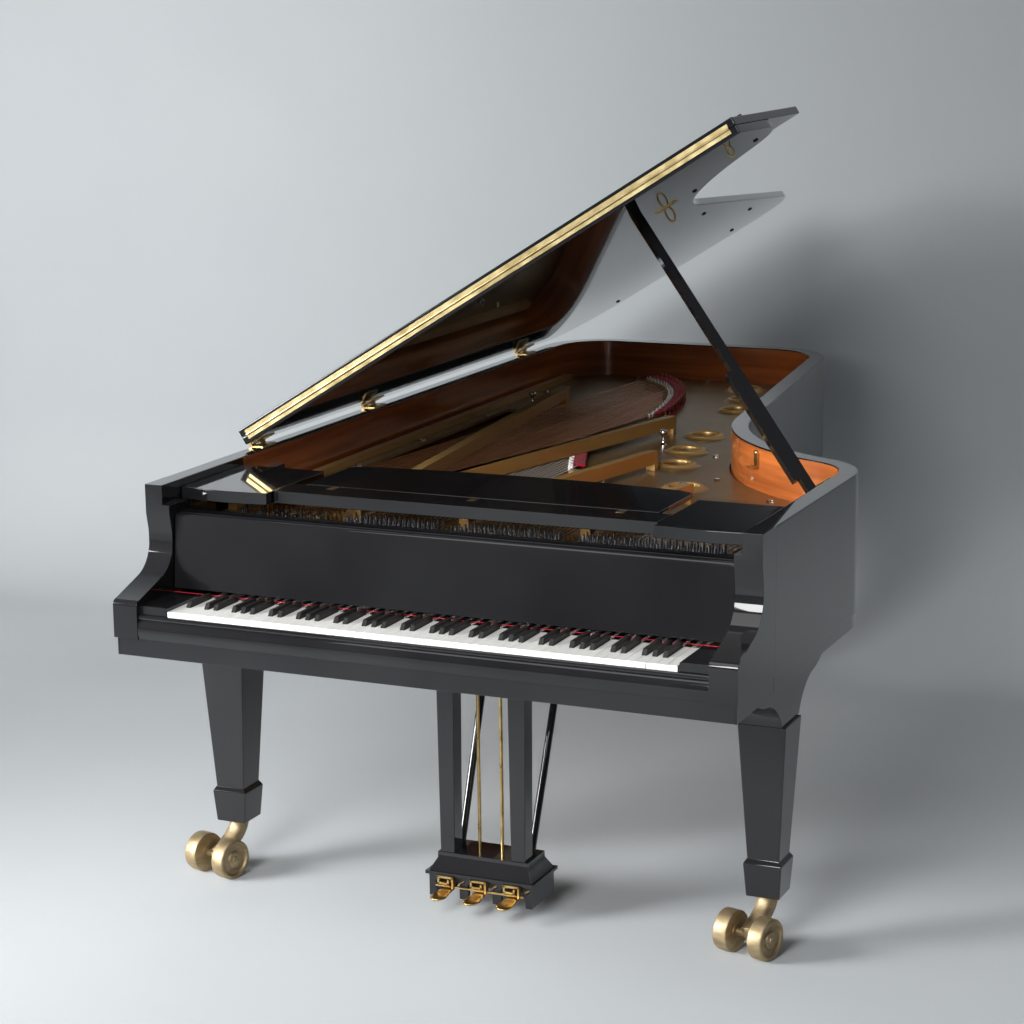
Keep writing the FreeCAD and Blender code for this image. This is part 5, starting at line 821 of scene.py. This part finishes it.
def hanging_loop(u, y, long, wide, thick):
    """Point = centre + (long + thick cos b) cos a square to the lid + (wide + thick cos b) sin a up it
    + thick sin b along it: a round bar bent into an oval that hangs from the board."""
    a = np.linspace(0, 2 * np.pi, 41)[:, None]
    b = np.linspace(0, 2 * np.pi, 12, endpoint=False)[None, :]
    return on_lid(u + (wide + thick * np.cos(b)) * np.sin(a), y + thick * np.sin(b) + 0 * a,
                  -long + (long + thick * np.cos(b)) * np.cos(a))


surface("socket_loop", hanging_loop(1100, 1085, 20, 10, 2.6), "brass", "lid")
surface("lid_catch", hanging_loop(1432, 725, 12, 8, 2.4), "brass", "lid")
hook = nodes["prop_hook"].data.vertices
corners = np.empty(len(hook) * 3)
hook.foreach_get("co", corners)
corners = corners.reshape(-1, 3)
tip = corners[corners[:, 2] > corners[:, 2].max() - 0.002].mean(axis=0)
BALL = [(6.6 * math.sin(a), 2 - 6.6 * math.cos(a)) for a in np.linspace(0, math.pi, 14)]
surface("hook_ball", turned(BALL, tip - (0, 0, 0.003), sides=24), "brass", "case")
print(len(button_places), "lid buttons, a knob, two loops and a hook ball")

# %% [markdown]
# ## Everything else
# Pieces hidden inside the case keep their CAD shape and only take their finish.

# %% Remaining nodes
replaced = {name for obj in bpy.data.objects for name in (obj.get("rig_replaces") or [])}
plain = [name for name in nodes if name not in replaced]
for name in plain:
    data = nodes[name].data
    data.materials.clear()
    data.materials.append(finishes[slot_of[name]])
print("plain nodes:", ", ".join(sorted(plain)))

# %% [markdown]
# ## The studio
# A sweep of pale paper makes floor and wall one surface with no horizon line. It is a profile again: flat,
# a quarter circle, upright. A little noise keeps it from looking like a void.

# %% Paper sweep
def paper():
    """Floor to wall as (y, z): a straight, a quarter circle of 0.6 m and an upright, carried along x."""
    turn = np.linspace(0, np.pi / 2, 24)
    y = np.concatenate([[-9.0], 1.1 + 0.6 * np.sin(turn), [1.7]])
    z = np.concatenate([[0.0], 0.6 - 0.6 * np.cos(turn), [7.0]])
    x = np.linspace(-9, 9, 3)
    return np.stack(np.broadcast_arrays(x[None, :], y[:, None], z[:, None]), axis=-1)


def paper_with_painted_shade():
    """Pale paper; along x and only up the wall, a ramp mixes in a darker grey: painted shade where light
    falls off.
    """
    material = finish("paper", (0.445, 0.470, 0.485), (0.468, 0.492, 0.506), 1.4, rough=(0.8, 0.9),
                      bump=(300.0, 0.02))
    tree = material.node_tree
    shader = tree.nodes["Principled BSDF"]
    pale = shader.inputs["Base Color"].links[0].from_socket
    where = next(node for node in tree.nodes if node.type == "TEX_COORD")
    split = tree.nodes.new("ShaderNodeSeparateXYZ")
    tree.links.new(where.outputs["Object"], split.inputs["Vector"])
    ramps = []
    for axis, start, end in (("X", -1.9, 1.6), ("Z", 0.0, 0.7)):
        ramp = tree.nodes.new("ShaderNodeMapRange")
        ramp.interpolation_type = "SMOOTHSTEP"
        ramp.inputs["From Min"].default_value, ramp.inputs["From Max"].default_value = start, end
        tree.links.new(split.outputs[axis], ramp.inputs["Value"])
        ramps.append(ramp.outputs["Result"])
    both = tree.nodes.new("ShaderNodeMath")
    both.operation = "MULTIPLY"
    tree.links.new(ramps[0], both.inputs[0])
    tree.links.new(ramps[1], both.inputs[1])
    mix = tree.nodes.new("ShaderNodeMix")
    mix.data_type = "RGBA"
    # This darker grey is painted shade on the wall towards the right.
    mix.inputs["B"].default_value = (0.245, 0.261, 0.272, 1)
    tree.links.new(both.outputs["Value"], mix.inputs["Factor"])
    tree.links.new(pale, mix.inputs["A"])
    tree.links.new(mix.outputs["Result"], shader.inputs["Base Color"])
    return material


sweep = surface("paper_sweep", paper(), None, loop=False, angle=60)
sweep.data.materials.append(paper_with_painted_shade())
print("sweep", len(sweep.data.polygons), "faces")

# %% [markdown]
# ## Light
# Four soft lamps. A low one at the left shines along the floor and throws the shadows to the right, as in the
# photograph; one washes the left of the wall; a high one in front models the case and puts the lid's shadow
# on the wall; one above fills. The world is brighter on the left, and the black polish mirrors that.

# %% Lamps
def soft_lamp(name, where, target, size, power, spread=180):
    """A square area lamp whose -Z axis points from where to target; spread is its beam in degrees."""
    lamp = bpy.data.lights.new(name, "AREA")
    lamp.size = size
    lamp.spread = math.radians(spread)
    lamp.energy = power
    obj = bpy.data.objects.new(name, lamp)
    aim = np.array(target, float) - np.array(where, float)
    aim /= np.linalg.norm(aim)
    right = np.cross(aim, (0, 0, 1.0))
    right /= np.linalg.norm(right)
    up = np.cross(right, aim)
    turn = np.eye(4)
    turn[:3, 0], turn[:3, 1], turn[:3, 2], turn[:3, 3] = right, up, -aim, where
    obj.matrix_world = Matrix(turn.tolist())
    bpy.context.scene.collection.objects.link(obj)
    return obj


soft_lamp("window", (-3.3, -3.5, 1.5), (0.9, -0.3, 0.0), 1.6, 40, spread=55)
soft_lamp("wash", (-4.6, -2.4, 2.6), (-2.5, 1.7, 1.0), 1.8, 44, spread=90)
soft_lamp("front", (-0.1, -6.6, 3.5), (0.0, 0.0, 0.9), 2.4, 330)
soft_lamp("ceiling", (-0.6, -3.4, 5.4), (-0.2, -1.6, 0.0), 4.0, 90)

# %% World
world = bpy.data.worlds.new("studio")
world.use_nodes = True
bpy.context.scene.world = world
sky = world.node_tree
shade = sky.nodes["Background"]
direction = sky.nodes.new("ShaderNodeTexCoord")
parts = sky.nodes.new("ShaderNodeSeparateXYZ")
fall = sky.nodes.new("ShaderNodeMapRange")
fall.inputs["From Min"].default_value, fall.inputs["From Max"].default_value = -0.9, 0.9
tone = sky.nodes.new("ShaderNodeValToRGB")
tone.color_ramp.elements[0].color = (0.85, 0.87, 0.89, 1)
tone.color_ramp.elements[1].color = (0.14, 0.15, 0.16, 1)
sky.links.new(direction.outputs["Generated"], parts.inputs["Vector"])
sky.links.new(parts.outputs["X"], fall.inputs["Value"])
sky.links.new(fall.outputs["Result"], tone.inputs["Fac"])
sky.links.new(tone.outputs["Color"], shade.inputs["Color"])
shade.inputs["Strength"].default_value = 0.25
print("world set")

# %% [markdown]
# ## Camera
# The photograph was taken from the front right, a little above the lid's lower edge, with a long lens.
# Yaw, pitch and roll were found by fitting the keyboard, the arms, the rim and the wheels.

# %% Camera
def photo_camera(where, yaw, pitch, roll, lens):
    """Forward = (-sin(yaw)cos(pitch), cos(yaw)cos(pitch), -sin(pitch)); right and up then roll about it."""
    ahead = np.array([-math.sin(yaw) * math.cos(pitch), math.cos(yaw) * math.cos(pitch), -math.sin(pitch)])
    right = np.array([math.cos(yaw), math.sin(yaw), 0])
    up = np.cross(right, ahead)
    right, up = (math.cos(roll) * right + math.sin(roll) * up, -math.sin(roll) * right + math.cos(roll) * up)
    turn = np.eye(4)
    turn[:3, 0], turn[:3, 1], turn[:3, 2], turn[:3, 3] = right, up, -ahead, where
    data = bpy.data.cameras.new("photo")
    data.lens, data.sensor_width, data.clip_end = lens, 36.0, 60.0
    obj = bpy.data.objects.new("photo", data)
    obj.matrix_world = Matrix(turn.tolist())
    bpy.context.scene.collection.objects.link(obj)
    return obj


bpy.context.scene.camera = photo_camera((2.345254, -5.974, 2.13718), 0.42272, 0.21218, -0.01302, 87.43)
bpy.context.scene.view_settings.view_transform = "Standard"
